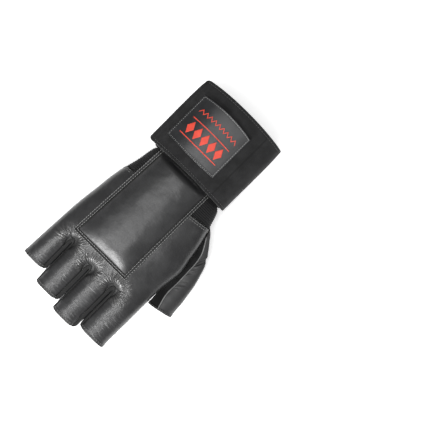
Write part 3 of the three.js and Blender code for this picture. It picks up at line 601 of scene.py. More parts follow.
@dataclass
class Blank:
    """Sheet of quads, seen from its outer side, before it has a thickness."""

    points: Array
    quads: Array
    marks: dict[str, Array] = field(default_factory=dict)

    @classmethod
    def grid(cls, points: Array, ring: bool = False) -> "Blank":
        """Blank from rows of points.

        Args:
            points: Rows by columns by 3.
            ring: Whether the last column joins the first.

        Returns:
            The blank, facing one way or the other.
        """
        rows, columns = points.shape[:2]
        number = np.arange(rows * columns).reshape(rows, columns)
        right = np.roll(number, -1, axis=1)
        if not ring:
            number, right = number[:, :-1], right[:, :-1]
        quads = np.stack([number[:-1], right[:-1], right[1:], number[1:]], axis=-1).reshape(-1, 4)
        return cls(points.reshape(-1, 3), quads)

    def normals(self) -> Array:
        """Outward normals at the points."""
        corner = self.points[self.quads]
        across = np.cross(corner[:, 2] - corner[:, 0], corner[:, 3] - corner[:, 1])
        corners, count = self.quads.ravel(), len(self.points)
        return unit(xyz(*(np.bincount(corners, np.repeat(across[:, i], 4), count) for i in range(3))))

    def facing(self, ways: Array) -> "Blank":
        """Turns the faces over if they look against the ways given, one for all points or one each."""
        if np.sum(self.normals() * ways) < 0:
            self.quads = self.quads[:, ::-1]
        return self

    def away_from(self, centre: Array) -> "Blank":
        """Turns the faces over if they look at a point or line inside the piece."""
        return self.facing(self.points - centre)

    def thickened(
        self, wall: Measure, relief: Measure = 0.0, roll: float = 0.3, inner: Array | None = None
    ) -> "Blank":
        """Closed body from the sheet, with rolled edges.

        Args:
            wall: Thickness, inwards from the sheet.
            relief: How far the outer face stands out of the sheet.
            roll: How far the faces draw back at an open edge, as a share of the thickness.
            inner: Points of the inner face, where they don't follow from the thickness.

        Returns:
            The closed body; its open edges carry the mark "edge".
        """
        normals = self.normals()
        count = len(self.points)
        wall = np.broadcast_to(wall, count)[:, None]
        outer = self.points + normals * np.broadcast_to(relief, count)[:, None]
        inner = self.points - normals * wall if inner is None else inner
        start = self.quads.ravel()
        end = np.roll(self.quads, -1, axis=1).ravel()
        is_rim = ~np.isin(start * count + end, end * count + start)
        start, end = start[is_rim], end[is_rim]
        out = np.zeros_like(self.points)
        way = np.cross(self.points[end] - self.points[start], normals[start] + normals[end])
        np.add.at(out, start, way)
        np.add.at(out, end, way)
        out = unit(out) * (np.linalg.norm(out, axis=1, keepdims=True) > 0)
        rim = np.unique(start)
        place = np.full(count, -1)
        place[rim] = 2 * count + np.arange(len(rim))
        half = (outer[rim] + inner[rim]) / 2
        outer = outer - out * wall * roll
        inner = inner - out * wall * roll
        points = np.concatenate([outer, inner, half])
        upper = np.stack([end, start, place[start], place[end]], axis=-1)
        lower = np.stack([place[end], place[start], count + start, count + end], axis=-1)
        quads = np.concatenate([self.quads, self.quads[:, ::-1] + count, upper, lower])
        marks = {name: np.concatenate([mark, mark, mark[rim]]) for name, mark in self.marks.items()}
        near = np.zeros(count)
        near[rim] = 1
        old = marks.get("edge", np.zeros(len(points)))
        marks["edge"] = np.maximum(old, np.concatenate([near, near, np.ones(len(rim))]))
        return Blank(points, quads, marks)

    @staticmethod
    def joined(blanks: Sequence["Blank"]) -> "Blank":
        """One blank from several that don't touch."""
        offsets = np.cumsum([0] + [len(blank.points) for blank in blanks[:-1]])
        names = sorted(set().union(*(blank.marks for blank in blanks)))
        points = np.concatenate([blank.points for blank in blanks])
        quads = np.concatenate([blank.quads + offset for blank, offset in zip(blanks, offsets)])
        marks = {n: np.concatenate([b.marks.get(n, np.zeros(len(b.points))) for b in blanks]) for n in names}
        return Blank(points, quads, marks)


@dataclass
class Path:
    """Line on a surface, with the surface's normal at each point."""

    points: Array
    normals: Array

    @classmethod
    def level(cls, points: Array) -> "Path":
        """Line whose normals point straight up."""
        return cls(points, np.tile([0.0, 0.0, 1.0], (len(points), 1)))

    @classmethod
    def on_wrist(cls, surface: Callable, place: Array, y: Measure, outside: float) -> "Path":
        """Line on one of the wrist's surfaces, a distance outside the cuff's face."""
        points = surface(place, y, outside)
        return cls(points, unit(surface(place, y, outside + 1 * MM) - points))

    def lengths(self) -> Array:
        """Distance from the first point, at each point."""
        runs = np.linalg.norm(np.diff(self.points, axis=0), axis=1)
        return np.concatenate([[0], np.cumsum(runs)])

    def at(self, distances: Array) -> tuple[Array, Array]:
        """Points and normals at distances from the first point."""
        lengths = self.lengths()
        points, normals = (
            xyz(*(np.interp(distances, lengths, column) for column in values.T))
            for values in (self.points, self.normals)
        )
        return points, unit(normals)

    def raised(self, height: float) -> "Path":
        """The same line at a height over the surface."""
        return Path(self.points + self.normals * height, self.normals)

    def where(self, kept: Array) -> "Path":
        """The stretch of the line that a mask keeps."""
        return Path(self.points[kept], self.normals[kept])


@dataclass(frozen=True)
class Stitch:
    """Run of lockstitch: short humps of thread, each one sunk at its ends."""

    pitch: float = 2.5 * MM
    share: float = 0.8
    radius: float = 0.27 * MM
    sink: float = 0.16 * MM
    sides: int = 6
    rings: int = 5

    def along(self, path: Path) -> Blank:
        """Closed humps of thread along a line."""
        total = path.lengths()[-1]
        count = max(int(total / self.pitch), 1)
        pitch = total / count
        starts = (np.arange(count) + (1 - self.share) / 2) * pitch
        places = np.linspace(0, 1, self.rings)
        distances = starts[:, None] + places * pitch * self.share
        points, normals = (rows.reshape(count, self.rings, 3) for rows in path.at(distances.ravel()))
        hump = np.sin(np.pi * places)
        points = points + normals * (hump * (self.radius + self.sink) * 0.75 - self.sink)[:, None]
        onward = unit(np.gradient(points, axis=1))
        sideways = np.cross(onward, normals)
        thin = self.radius * (0.35 + 0.65 * np.abs(hump) ** 0.5)
        angle = 2 * np.pi * np.arange(self.sides) / self.sides
        ring = np.cos(angle)[:, None] * sideways[:, :, None] + np.sin(angle)[:, None] * normals[:, :, None]
        humps = points[:, :, None] + ring * thin[:, None, None]
        one = capped(Blank.grid(humps[0], ring=True), self.rings, self.sides)
        size = self.rings * self.sides
        quads = (one.quads[None] + (np.arange(count) * size)[:, None, None]).reshape(-1, 4)
        return Blank(humps.reshape(-1, 3), quads)


def capped(rod: Blank, rows: int, sides: int) -> Blank:
    """Closes both ends of a rod of an even number of sides, and turns its faces out."""
    rod = rod.away_from(np.repeat(rod.points.reshape(rows, sides, 3).mean(axis=1), sides, axis=0))
    column = 0 if rod.quads[0, 1] == 1 else 1
    fan = np.array([[0, i, i + 1, i + 2] for i in range(1, sides - 2, 2)])
    first, last = (fan[:, ::-1], fan) if column == 0 else (fan, fan[:, ::-1])
    return Blank(rod.points, np.concatenate([rod.quads, first, last + (rows - 1) * sides]))


def tube(path: Path, radius: Measure, sides: int = 8, relief: Callable | None = None) -> Blank:
    """Closed round rod along a line.

    Args:
        path: Line that the rod follows.
        radius: Radius, the same all along or one at each point.
        sides: Points round the rod, an even number.
        relief: Height over the round section, from the angle and the distance along.

    Returns:
        The rod, with its ends drawn in.
    """
    onward = unit(np.gradient(path.points, axis=0))
    sideways = unit(np.cross(onward, path.normals))
    upward = np.cross(sideways, onward)
    angle = 2 * np.pi * np.arange(sides) / sides
    size = np.broadcast_to(radius, len(path.points))[:, None] * np.ones(sides)
    if relief is not None:
        size = size + relief(angle[None, :], path.lengths()[:, None])
    ring = np.cos(angle)[:, None] * sideways[:, None] + np.sin(angle)[:, None] * upward[:, None]
    rows = path.points[:, None] + ring * size[..., None]
    tip = onward * size.mean(axis=1, keepdims=True) * 0.4
    start = lerp(path.points[0], rows[:1], 0.5) - tip[0]
    end = lerp(path.points[-1], rows[-1:], 0.5) + tip[-1]
    rows = np.concatenate([start, rows, end])
    return capped(Blank.grid(rows, ring=True), len(rows), sides)


def nearest(points: Array, line: Array) -> Array:
    """Distance from each point to the nearest point of a line."""
    tree = KDTree(len(line))
    for number, place in enumerate(line):
        tree.insert(place, number)
    tree.balance()
    return np.array([tree.find(point)[2] for point in points])


@dataclass(frozen=True)
class Creases:
    """Group of short folds in leather, drawn from a seed about one place."""

    x: float
    y: float
    spread_x: float
    spread_y: float
    tilt: float
    count: int
    length: float
    depth: float
    width: float = 0.75
    fan: float = 0.0

    def relief(self, points: Array, seed: int) -> Array:
        """Height of the folds at each point.

        Args:
            points: Places on the leather.
            seed: Seed of the places and sizes drawn.

        Returns:
            Heights in metres, below 0 in the folds and above 0 beside them.
        """
        draw = np.random.default_rng(seed)
        total = np.zeros(len(points))
        for _ in range(self.count):
            along, across = draw.normal(0, 0.5, 2)
            middle = np.array([self.x + along * self.spread_x, self.y + across * self.spread_y]) * MM
            turn = math.radians(self.tilt + self.fan * along + draw.normal(0, 7))
            half = self.length * MM * draw.uniform(0.35, 0.65)
            width = self.width * MM * draw.uniform(0.7, 1.3)
            depth = self.depth * MM * draw.uniform(0.5, 1.1)
            bend = draw.normal(0, 0.35)
            away = points[:, :2] - middle
            s = (away[:, 0] * math.cos(turn) + away[:, 1] * math.sin(turn)) / half
            t = -away[:, 0] * math.sin(turn) + away[:, 1] * math.cos(turn)
            t = t - bend * width * 2 * (1 - s**2)
            fade = np.clip(1 - s**2, 0, 1) ** 1.5
            total += depth * fade * (0.55 * bell(np.abs(t) - 1.7 * width, width) - bell(t, width))
        return total


def crumple(points: Array, groups: Sequence[Creases], seed: int) -> Array:
    """Height of several groups of folds."""
    return sum(group.relief(points, seed + number) for number, group in enumerate(groups))


def undulation(points: Array, sizes: Mapping[float, float], seed: int) -> Array:
    """Soft swells of several widths, given as widths and heights in millimetres."""
    return sum(
        Mottle(seed + number)(points, width * MM) * height * MM
        for number, (width, height) in enumerate(sizes.items())
    )


Input = "Value | float | Colour | tuple[float, ...]"


def operator(operation: str, number_first: bool = False) -> Callable:
    """Method of a value that adds a Math node, from the value and another or the other way round."""

    def apply(value: "Value", other: Input) -> "Value":
        """Adds the node."""
        first, second = (other, value) if number_first else (value, other)
        return value.board.add("ShaderNodeMath", {"operation": operation}, {0: first, 1: second})

    return apply


class Value:
    """Socket of a shader that takes part in Python expressions, which add their nodes to its board."""

    def __init__(self, board: "Board", socket: bpy.types.NodeSocket) -> None:
        """Keeps the socket and the board it is on."""
        self.board = board
        self.socket = socket

    __add__ = operator("ADD")
    __radd__ = operator("ADD", True)
    __sub__ = operator("SUBTRACT")
    __rsub__ = operator("SUBTRACT", True)
    __mul__ = operator("MULTIPLY")
    __rmul__ = operator("MULTIPLY", True)
    __pow__ = operator("POWER")

    def sine(self) -> "Value":
        """Sine of an angle in radians."""
        return self.board.add("ShaderNodeMath", {"operation": "SINE"}, {0: self})

    def fit(self, low: float, high: float) -> "Value":
        """Soft step from 0 to 1 between two limits."""
        settings = {"interpolation_type": "SMOOTHSTEP"}
        inputs = {"Value": self, "From Min": low, "From Max": high}
        return self.board.add("ShaderNodeMapRange", settings, inputs)


class Board:
    """Node tree of one material."""

    def __init__(self, name: str) -> None:
        """Makes an empty material."""
        self.material = bpy.data.materials.new(name)
        self.material.use_nodes = True
        self.tree = self.material.node_tree
        self.tree.nodes.clear()

    def add(self, kind: str, settings: Mapping, inputs: Mapping, output: int | str = 0) -> Value:
        """Adds one node.

        Args:
            kind: Type of the node.
            settings: Its properties, set before its sockets.
            inputs: Values or links of its sockets, by name or number.
            output: Socket to give back.

        Returns:
            The output socket.
        """
        node = self.tree.nodes.new(kind)
        for name, setting in settings.items():
            setattr(node, name, setting)
        for key, value in inputs.items():
            socket = node.inputs[key]
            if isinstance(value, Value):
                self.tree.links.new(value.socket, socket)
            elif isinstance(value, tuple) and socket.type == "RGBA":
                socket.default_value = (*value, 1)
            else:
                socket.default_value = value
        return Value(self, node.outputs[output])

    def place(self, size: float | Triple = 1.0) -> Value:
        """Place in the glove's frame, divided by a size, or by one size for each axis."""
        sizes = size if isinstance(size, tuple) else (size,) * 3
        where = self.add("ShaderNodeTexCoord", {}, {}, "Object")
        scale = tuple(1 / length for length in sizes)
        return self.add("ShaderNodeVectorMath", {"operation": "MULTIPLY"}, {0: where, 1: scale})

    def axes(self, names: str) -> list[Value]:
        """Coordinates of the place in the glove's frame, along the axes named."""
        where = self.place()
        return [self.add("ShaderNodeSeparateXYZ", {}, {0: where}, name) for name in names]

    def noise(self, size: float | Triple, detail: float = 2.0, rough: float = 0.5) -> Value:
        """Cloudy noise from 0 to 1, its blotches as wide as the size."""
        return self.noise_at(self.place(size), detail, rough)

    def noise_at(self, where: Value, detail: float, rough: float) -> Value:
        """Cloudy noise from 0 to 1, at a place."""
        inputs = {"Vector": where, "Scale": 1.0, "Detail": detail, "Roughness": rough}
        return self.add("ShaderNodeTexNoise", {}, inputs)

    def cells(self, size: float) -> Value:
        """Distance within scattered cells as wide as the size."""
        inputs = {"Vector": self.place(size), "Scale": 1.0}
        return self.add("ShaderNodeTexVoronoi", {"feature": "F1"}, inputs)

    def streaks(self, across: str, along: str) -> Value:
        """Noise from 0 to 1, at the place given by two marks of the mesh."""
        where = self.add("ShaderNodeCombineXYZ", {}, {0: self.mark(across), 1: self.mark(along)})
        return self.noise_at(where, 1.0, 0.5)

    def mark(self, name: str) -> Value:
        """Mark that the mesh carries at its points."""
        return self.add("ShaderNodeAttribute", {"attribute_name": name}, {}, "Fac")

    def mix(self, factor: Input, first: Input, second: Input) -> Value:
        """Colour between two colours."""
        inputs = {0: factor, 6: first, 7: second}
        return self.add("ShaderNodeMix", {"data_type": "RGBA"}, inputs, 2)

    def bump(self, height: Value, depth: float) -> Value:
        """Normal of a surface that stands up by a height from 0 to 1 times a depth in metres."""
        return self.add("ShaderNodeBump", {}, {"Height": height, "Distance": depth, "Strength": 1.0})

    def surface(self, colour: Value, rough: Value, more: Mapping[str, Input]) -> bpy.types.Material:
        """Ends the material with its shader."""
        inputs = {"Base Color": colour, "Roughness": rough, **more}
        shader = self.add("ShaderNodeBsdfPrincipled", {}, inputs)
        output = self.tree.nodes.new("ShaderNodeOutputMaterial")
        self.tree.links.new(shader.socket, output.inputs["Surface"])
        return self.material


@dataclass(frozen=True)
class Leather:
    """Smooth hide: pores, soft clouds, fine wrinkles round the slits with painted highlights on their
    strokes, dark seams with painted shade along the slits, and pale cut edges.
    """

    name: str = "leather"
    colour: Colour = (0.018, 0.018, 0.0188)
    pale: Colour = (0.027, 0.027, 0.028)
    cut: Colour = (0.11, 0.108, 0.104)
    dark: Colour = (0.005, 0.005, 0.005)
    roughness: float = 0.34
    pore: float = 0.85 * MM
    depth: float = 0.035 * MM
    worn: float = 0.5
    wrinkle: float = 7.0
    gather: float = 11.0
    swell: float = 6.0
    painted_wrinkle_highlight: float = 0.45

    def make(self) -> bpy.types.Material:
        """Builds the material."""
        board = Board(self.name)
        clouds = board.noise(13 * MM, 3)
        grit = board.noise(0.5 * MM, 3, 0.6)
        wrinkle = board.noise((3.2 * MM, 2.2 * MM, 2.6 * MM), 4, 0.6)
        pores = board.cells(self.pore)
        waver = board.streaks("fan_turn", "fan_reach")
        strokes = (0.5 + 0.5 * (board.mark("fan_turn") * 3.4 + waver * 11).sine()) ** 1.6
        fan, crest = board.mark("fan"), board.mark("crest")
        gathers = board.noise((9 * MM, 1.7 * MM, 9 * MM), 2)
        swell = board.noise((7 * MM, 5 * MM, 7 * MM), 2)
        colour = board.mix(clouds.fit(0.35, 0.68), self.colour, self.pale)
        # Painted highlight: pale strokes along the fan wrinkles stand in for the light caught on their
        # ridges.
        colour = board.mix(fan * strokes * self.painted_wrinkle_highlight, colour, self.cut)
        colour = board.mix(pores.fit(0.05, 0.3) * 0.25, colour, self.dark)
        # The seam mark darkens stitch grooves and hems, and also carries painted shade along the slits, the
        # gussets' edges and the middle groove of the cushion border.
        colour = board.mix(board.mark("seam") * 0.85, colour, self.dark)
        colour = board.mix(board.mark("edge") * self.worn * (0.55 + 0.6 * grit), colour, self.cut)
        rough = self.roughness + (clouds - 0.5) * 0.1 + (grit - 0.5) * 0.14 + board.mark("seam") * 0.35
        height = pores.fit(0, 0.75) * 0.6 + wrinkle * 0.9 + grit * 0.35 + swell * self.swell
        height = height + fan * strokes * self.wrinkle + crest * gathers * self.gather
        bump = board.bump(height, self.depth)
        return board.surface(colour, rough, {"Normal": bump, "IOR": 1.5, "Specular IOR Level": 0.55})


@dataclass(frozen=True)
class Suede:
    """Short dark nap with brushed patches."""

    name: str = "suede"
    colour: Colour = (0.004, 0.004, 0.0042)
    brushed: Colour = (0.01, 0.01, 0.0105)
    cut: Colour = (0.05, 0.049, 0.047)
    nap: float = 0.32 * MM
    depth: float = 0.09 * MM

    def make(self) -> bpy.types.Material:
        """Builds the material."""
        board = Board(self.name)
        patches = board.noise((9 * MM, 16 * MM, 9 * MM), 4, 0.6)
        nap = board.noise(self.nap, 2, 0.7)
        colour = board.mix(patches.fit(0.4, 0.7) * 0.8 + nap.fit(0.45, 0.75) * 0.2, self.colour, self.brushed)
        colour = board.mix(board.mark("edge") * 0.5, colour, self.cut)
        colour = board.mix(board.mark("seam") * 0.7, colour, self.colour)
        rough = 0.86 + nap * 0.12
        sheen = {"Sheen Weight": 0.04, "Sheen Roughness": 0.5, "Specular IOR Level": 0.15}
        return board.surface(colour, rough, {"Normal": board.bump(nap, self.depth), **sheen})


@dataclass(frozen=True)
class Knit:
    """Dark stretch fabric: fine loops in columns and rows."""

    name: str = "ribbed_knit"
    colour: Colour = (0.005, 0.005, 0.0053)
    raised: Colour = (0.018, 0.018, 0.0186)
    loop: Pair = (0.55 * MM, 0.8 * MM)
    depth: float = 0.12 * MM
    rough: float = 0.85

    def make(self) -> bpy.types.Material:
        """Builds the material."""
        board = Board(self.name)
        x, y = board.axes("XY")
        fuzz = board.noise(0.25 * MM, 3, 0.7)
        columns = 0.5 + 0.5 * (x * (2 * math.pi / self.loop[0])).sine()
        rows = 0.5 + 0.5 * (y * (2 * math.pi / self.loop[1]) + columns * 1.6).sine()
        loops = columns * 0.55 + rows * 0.45
        # Painted highlight: the crests of the loops and of the ribs are painted paler.
        lit = loops.fit(0.35, 0.9) * (0.35 + 0.65 * board.mark("rib"))
        colour = board.mix(lit * (0.5 + fuzz), self.colour, self.raised)
        height = loops + fuzz * 0.7
        rough = self.rough + fuzz * 0.1
        sheen = {"Sheen Weight": 0.05, "Sheen Roughness": 0.6, "Specular IOR Level": 0.2}
        return board.surface(colour, rough, {"Normal": board.bump(height, self.depth), **sheen})


@dataclass(frozen=True)
class Elastic:
    """Matte webbing with a brushed face: fine ribs under short fibres."""

    name: str = "elastic"
    colour: Colour = (0.006, 0.006, 0.0062)
    brushed: Colour = (0.023, 0.023, 0.0238)
    dark: Colour = (0.004, 0.004, 0.004)
    rib: float = 0.9 * MM
    fibre: Triple = (1.6 * MM, 0.3 * MM, 0.5 * MM)
    depth: float = 0.1 * MM

    def make(self) -> bpy.types.Material:
        """Builds the material."""
        board = Board(self.name)
        (y,) = board.axes("Y")
        fibres = board.noise(self.fibre, 3, 0.7)
        fuzz = board.noise(0.28 * MM, 2, 0.7)
        clouds = board.noise(11 * MM, 3, 0.55)
        ribs = 0.5 + 0.5 * (y * (2 * math.pi / self.rib) + fibres * 1.2).sine()
        shade = clouds.fit(0.3, 0.75) * 0.5 + fibres.fit(0.35, 0.7) * 0.3 + fuzz.fit(0.4, 0.7) * 0.2
        colour = board.mix(shade, self.colour, self.brushed)
        colour = board.mix(board.mark("seam") * 0.7, colour, self.dark)
        height = ribs * 0.3 + fibres * 0.5 + fuzz * 0.6
        rough = 0.8 + fuzz * 0.15
        sheen = {"Sheen Weight": 0.04, "Sheen Roughness": 0.55, "Specular IOR Level": 0.22}
        return board.surface(colour, rough, {"Normal": board.bump(height, self.depth), **sheen})


@dataclass(frozen=True)
class CoatedPatch:
    """Dark coated cloth with a soft shine and a faint weave showing through."""

    name: str = "coated_patch"
    colour: Colour = (0.011, 0.0115, 0.0125)
    pale: Colour = (0.017, 0.0175, 0.019)
    dark: Colour = (0.008, 0.008, 0.009)
    weave: float = 0.7 * MM
    depth: float = 0.03 * MM

    def make(self) -> bpy.types.Material:
        """Builds the material."""
        board = Board(self.name)
        x, y = board.axes("XY")
        turn = 2 * math.pi / self.weave
        weave = 0.5 + 0.25 * (x * turn).sine() + 0.25 * (y * turn).sine()
        grit = board.noise(0.4 * MM, 3, 0.6)
        clouds = board.noise(9 * MM, 2)
        colour = board.mix(clouds.fit(0.35, 0.7), self.colour, self.pale)
        colour = board.mix(board.mark("seam") * 0.8, colour, self.dark)
        rough = 0.24 + grit * 0.14 + clouds * 0.06 + board.mark("seam") * 0.2
        height = weave * 0.6 + grit * 0.6
        return board.surface(colour, rough, {"Normal": board.bump(height, self.depth), "IOR": 1.5})


@dataclass(frozen=True)
class Thread:
    """Sewing thread or cord of twisted fibres."""

    name: str
    colour: Colour
    pale: Colour
    twist: float = 0.35 * MM
    depth: float = 0.06 * MM

    def make(self) -> bpy.types.Material:
        """Builds the material."""
        board = Board(self.name)
        fibres = board.noise((self.twist, self.twist * 2.2, self.twist), 3, 0.7)
        fuzz = board.noise(self.twist / 2, 2, 0.7)
        colour = board.mix(fibres.fit(0.35, 0.7), self.colour, self.pale)
        rough = 0.6 + fuzz * 0.25
        return board.surface(colour, rough, {"Normal": board.bump(fibres + fuzz * 0.5, self.depth)})


@dataclass(frozen=True)
class Ink:
    """Thick rubbery print."""

    name: str = "red_print"
    colour: Colour = (0.72, 0.06, 0.03)
    deep: Colour = (0.55, 0.04, 0.02)
    depth: float = 0.02 * MM

    def make(self) -> bpy.types.Material:
        """Builds the material."""
        board = Board(self.name)
        grit = board.noise(0.45 * MM, 3, 0.65)
        clouds = board.noise(5 * MM, 2)
        colour = board.mix(clouds.fit(0.3, 0.75) * 0.6 + grit.fit(0.3, 0.8) * 0.4, self.deep, self.colour)
        return board.surface(colour, 0.42 + grit * 0.2, {"Normal": board.bump(grit, self.depth)})


@dataclass(frozen=True)
class Paper:
    """Pale studio floor, lit a little from below."""

    name: str = "studio_floor"
    colour: Colour = (0.9, 0.9, 0.9)
    pale: Colour = (0.93, 0.93, 0.93)
    glow: float = 0.6

    def make(self) -> bpy.types.Material:
        """Builds the material."""
        board = Board(self.name)
        clouds = board.noise(200 * MM, 2)
        colour = board.mix(clouds, self.colour, self.pale)
        glow = {"Emission Color": colour, "Emission Strength": self.glow}
        return board.surface(colour, 0.7 + clouds * 0.1, glow)


class Finish(Enum):
    """Finishes of the glove's pieces."""

    LEATHER = Leather()
    # Pale copy of the leather for the thumb's piping: a painted highlight along the piped seams; its cut
    # edges also carry wear.
    HIGHLIT_PIPING = Leather("piping", (0.13, 0.13, 0.13), (0.22, 0.22, 0.218), roughness=0.5, worn=0.2)
    THUMB = Leather("thumb_hide", roughness=0.5)
    CUSHION = Leather("cushion_leather", roughness=0.41)
    # Darker copy of the leather for the finger gussets: painted shade for the valleys between the stalls.
    SHADED_INSET = Leather("inset_leather_painted_shade", (0.012, 0.012, 0.0125), (0.018, 0.018, 0.0186), roughness=0.6, worn=0)
    SUEDE = Suede()
    RIBBED = Knit()
    ELASTIC = Elastic()
    PATCH = CoatedPatch()
    THREAD = Thread("thread", (0.16, 0.16, 0.158), (0.3, 0.3, 0.296))
    HEM_THREAD = Thread("hem_thread", (0.09, 0.09, 0.09), (0.2, 0.2, 0.198))
    DARK_THREAD = Thread("dark_thread", (0.045, 0.045, 0.045), (0.11, 0.11, 0.108))
    CORD = Thread("braided_cord", (0.028, 0.028, 0.028), (0.085, 0.085, 0.084), 0.5 * MM, 0.1 * MM)
    PRINT = Ink()


class Slot(Enum):
    """Material slots of the part's record."""

    LEATHER = "leather"
    SUEDE = "suede"
    RIB = "rib"
    ELASTIC = "elastic"
    PATCH = "patch"
    CORD = "cord"


class Workshop:
    """Turns blanks into objects that ride on the glove."""

    def __init__(self) -> None:
        """Starts with no material made."""
        self.materials: dict[str, bpy.types.Material] = {}

    def material(self, finish: Finish) -> bpy.types.Material:
        """Material of a finish, made once."""
        if finish.name not in self.materials:
            self.materials[finish.name] = finish.value.make()
        return self.materials[finish.name]

    def add(
        self, name: str, blank: Blank, finish: Finish, slot: Slot, replaced: Sequence[str] = ()
    ) -> bpy.types.Object:
        """Makes one piece of the glove.

        Args:
            name: Name of the piece.
            blank: Closed body, or several, in the frame of the tables.
            finish: What it is made of.
            slot: Slot of the record; not used.
            replaced: Nodes of the part that it stands for.

        Returns:
            The object, riding on the glove.
        """
        mesh = bpy.data.meshes.new(name)
        mesh.from_pydata((blank.points + CENTRING).tolist(), [], blank.quads.tolist())
        mesh.polygons.foreach_set("use_smooth", np.ones(len(mesh.polygons), bool))
        for mark, values in blank.marks.items():
            mesh.attributes.new(mark, "FLOAT", "POINT").data.foreach_set("value", values.astype(np.float32))
        mesh.materials.append(self.material(finish))
        piece = bpy.data.objects.new(name, mesh)
        bpy.context.scene.collection.objects.link(piece)
        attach(piece, "root")
        if replaced:
            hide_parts(*replaced)
        log.info("%s: %d points, %d faces", name, len(blank.points), len(blank.quads))
        return piece


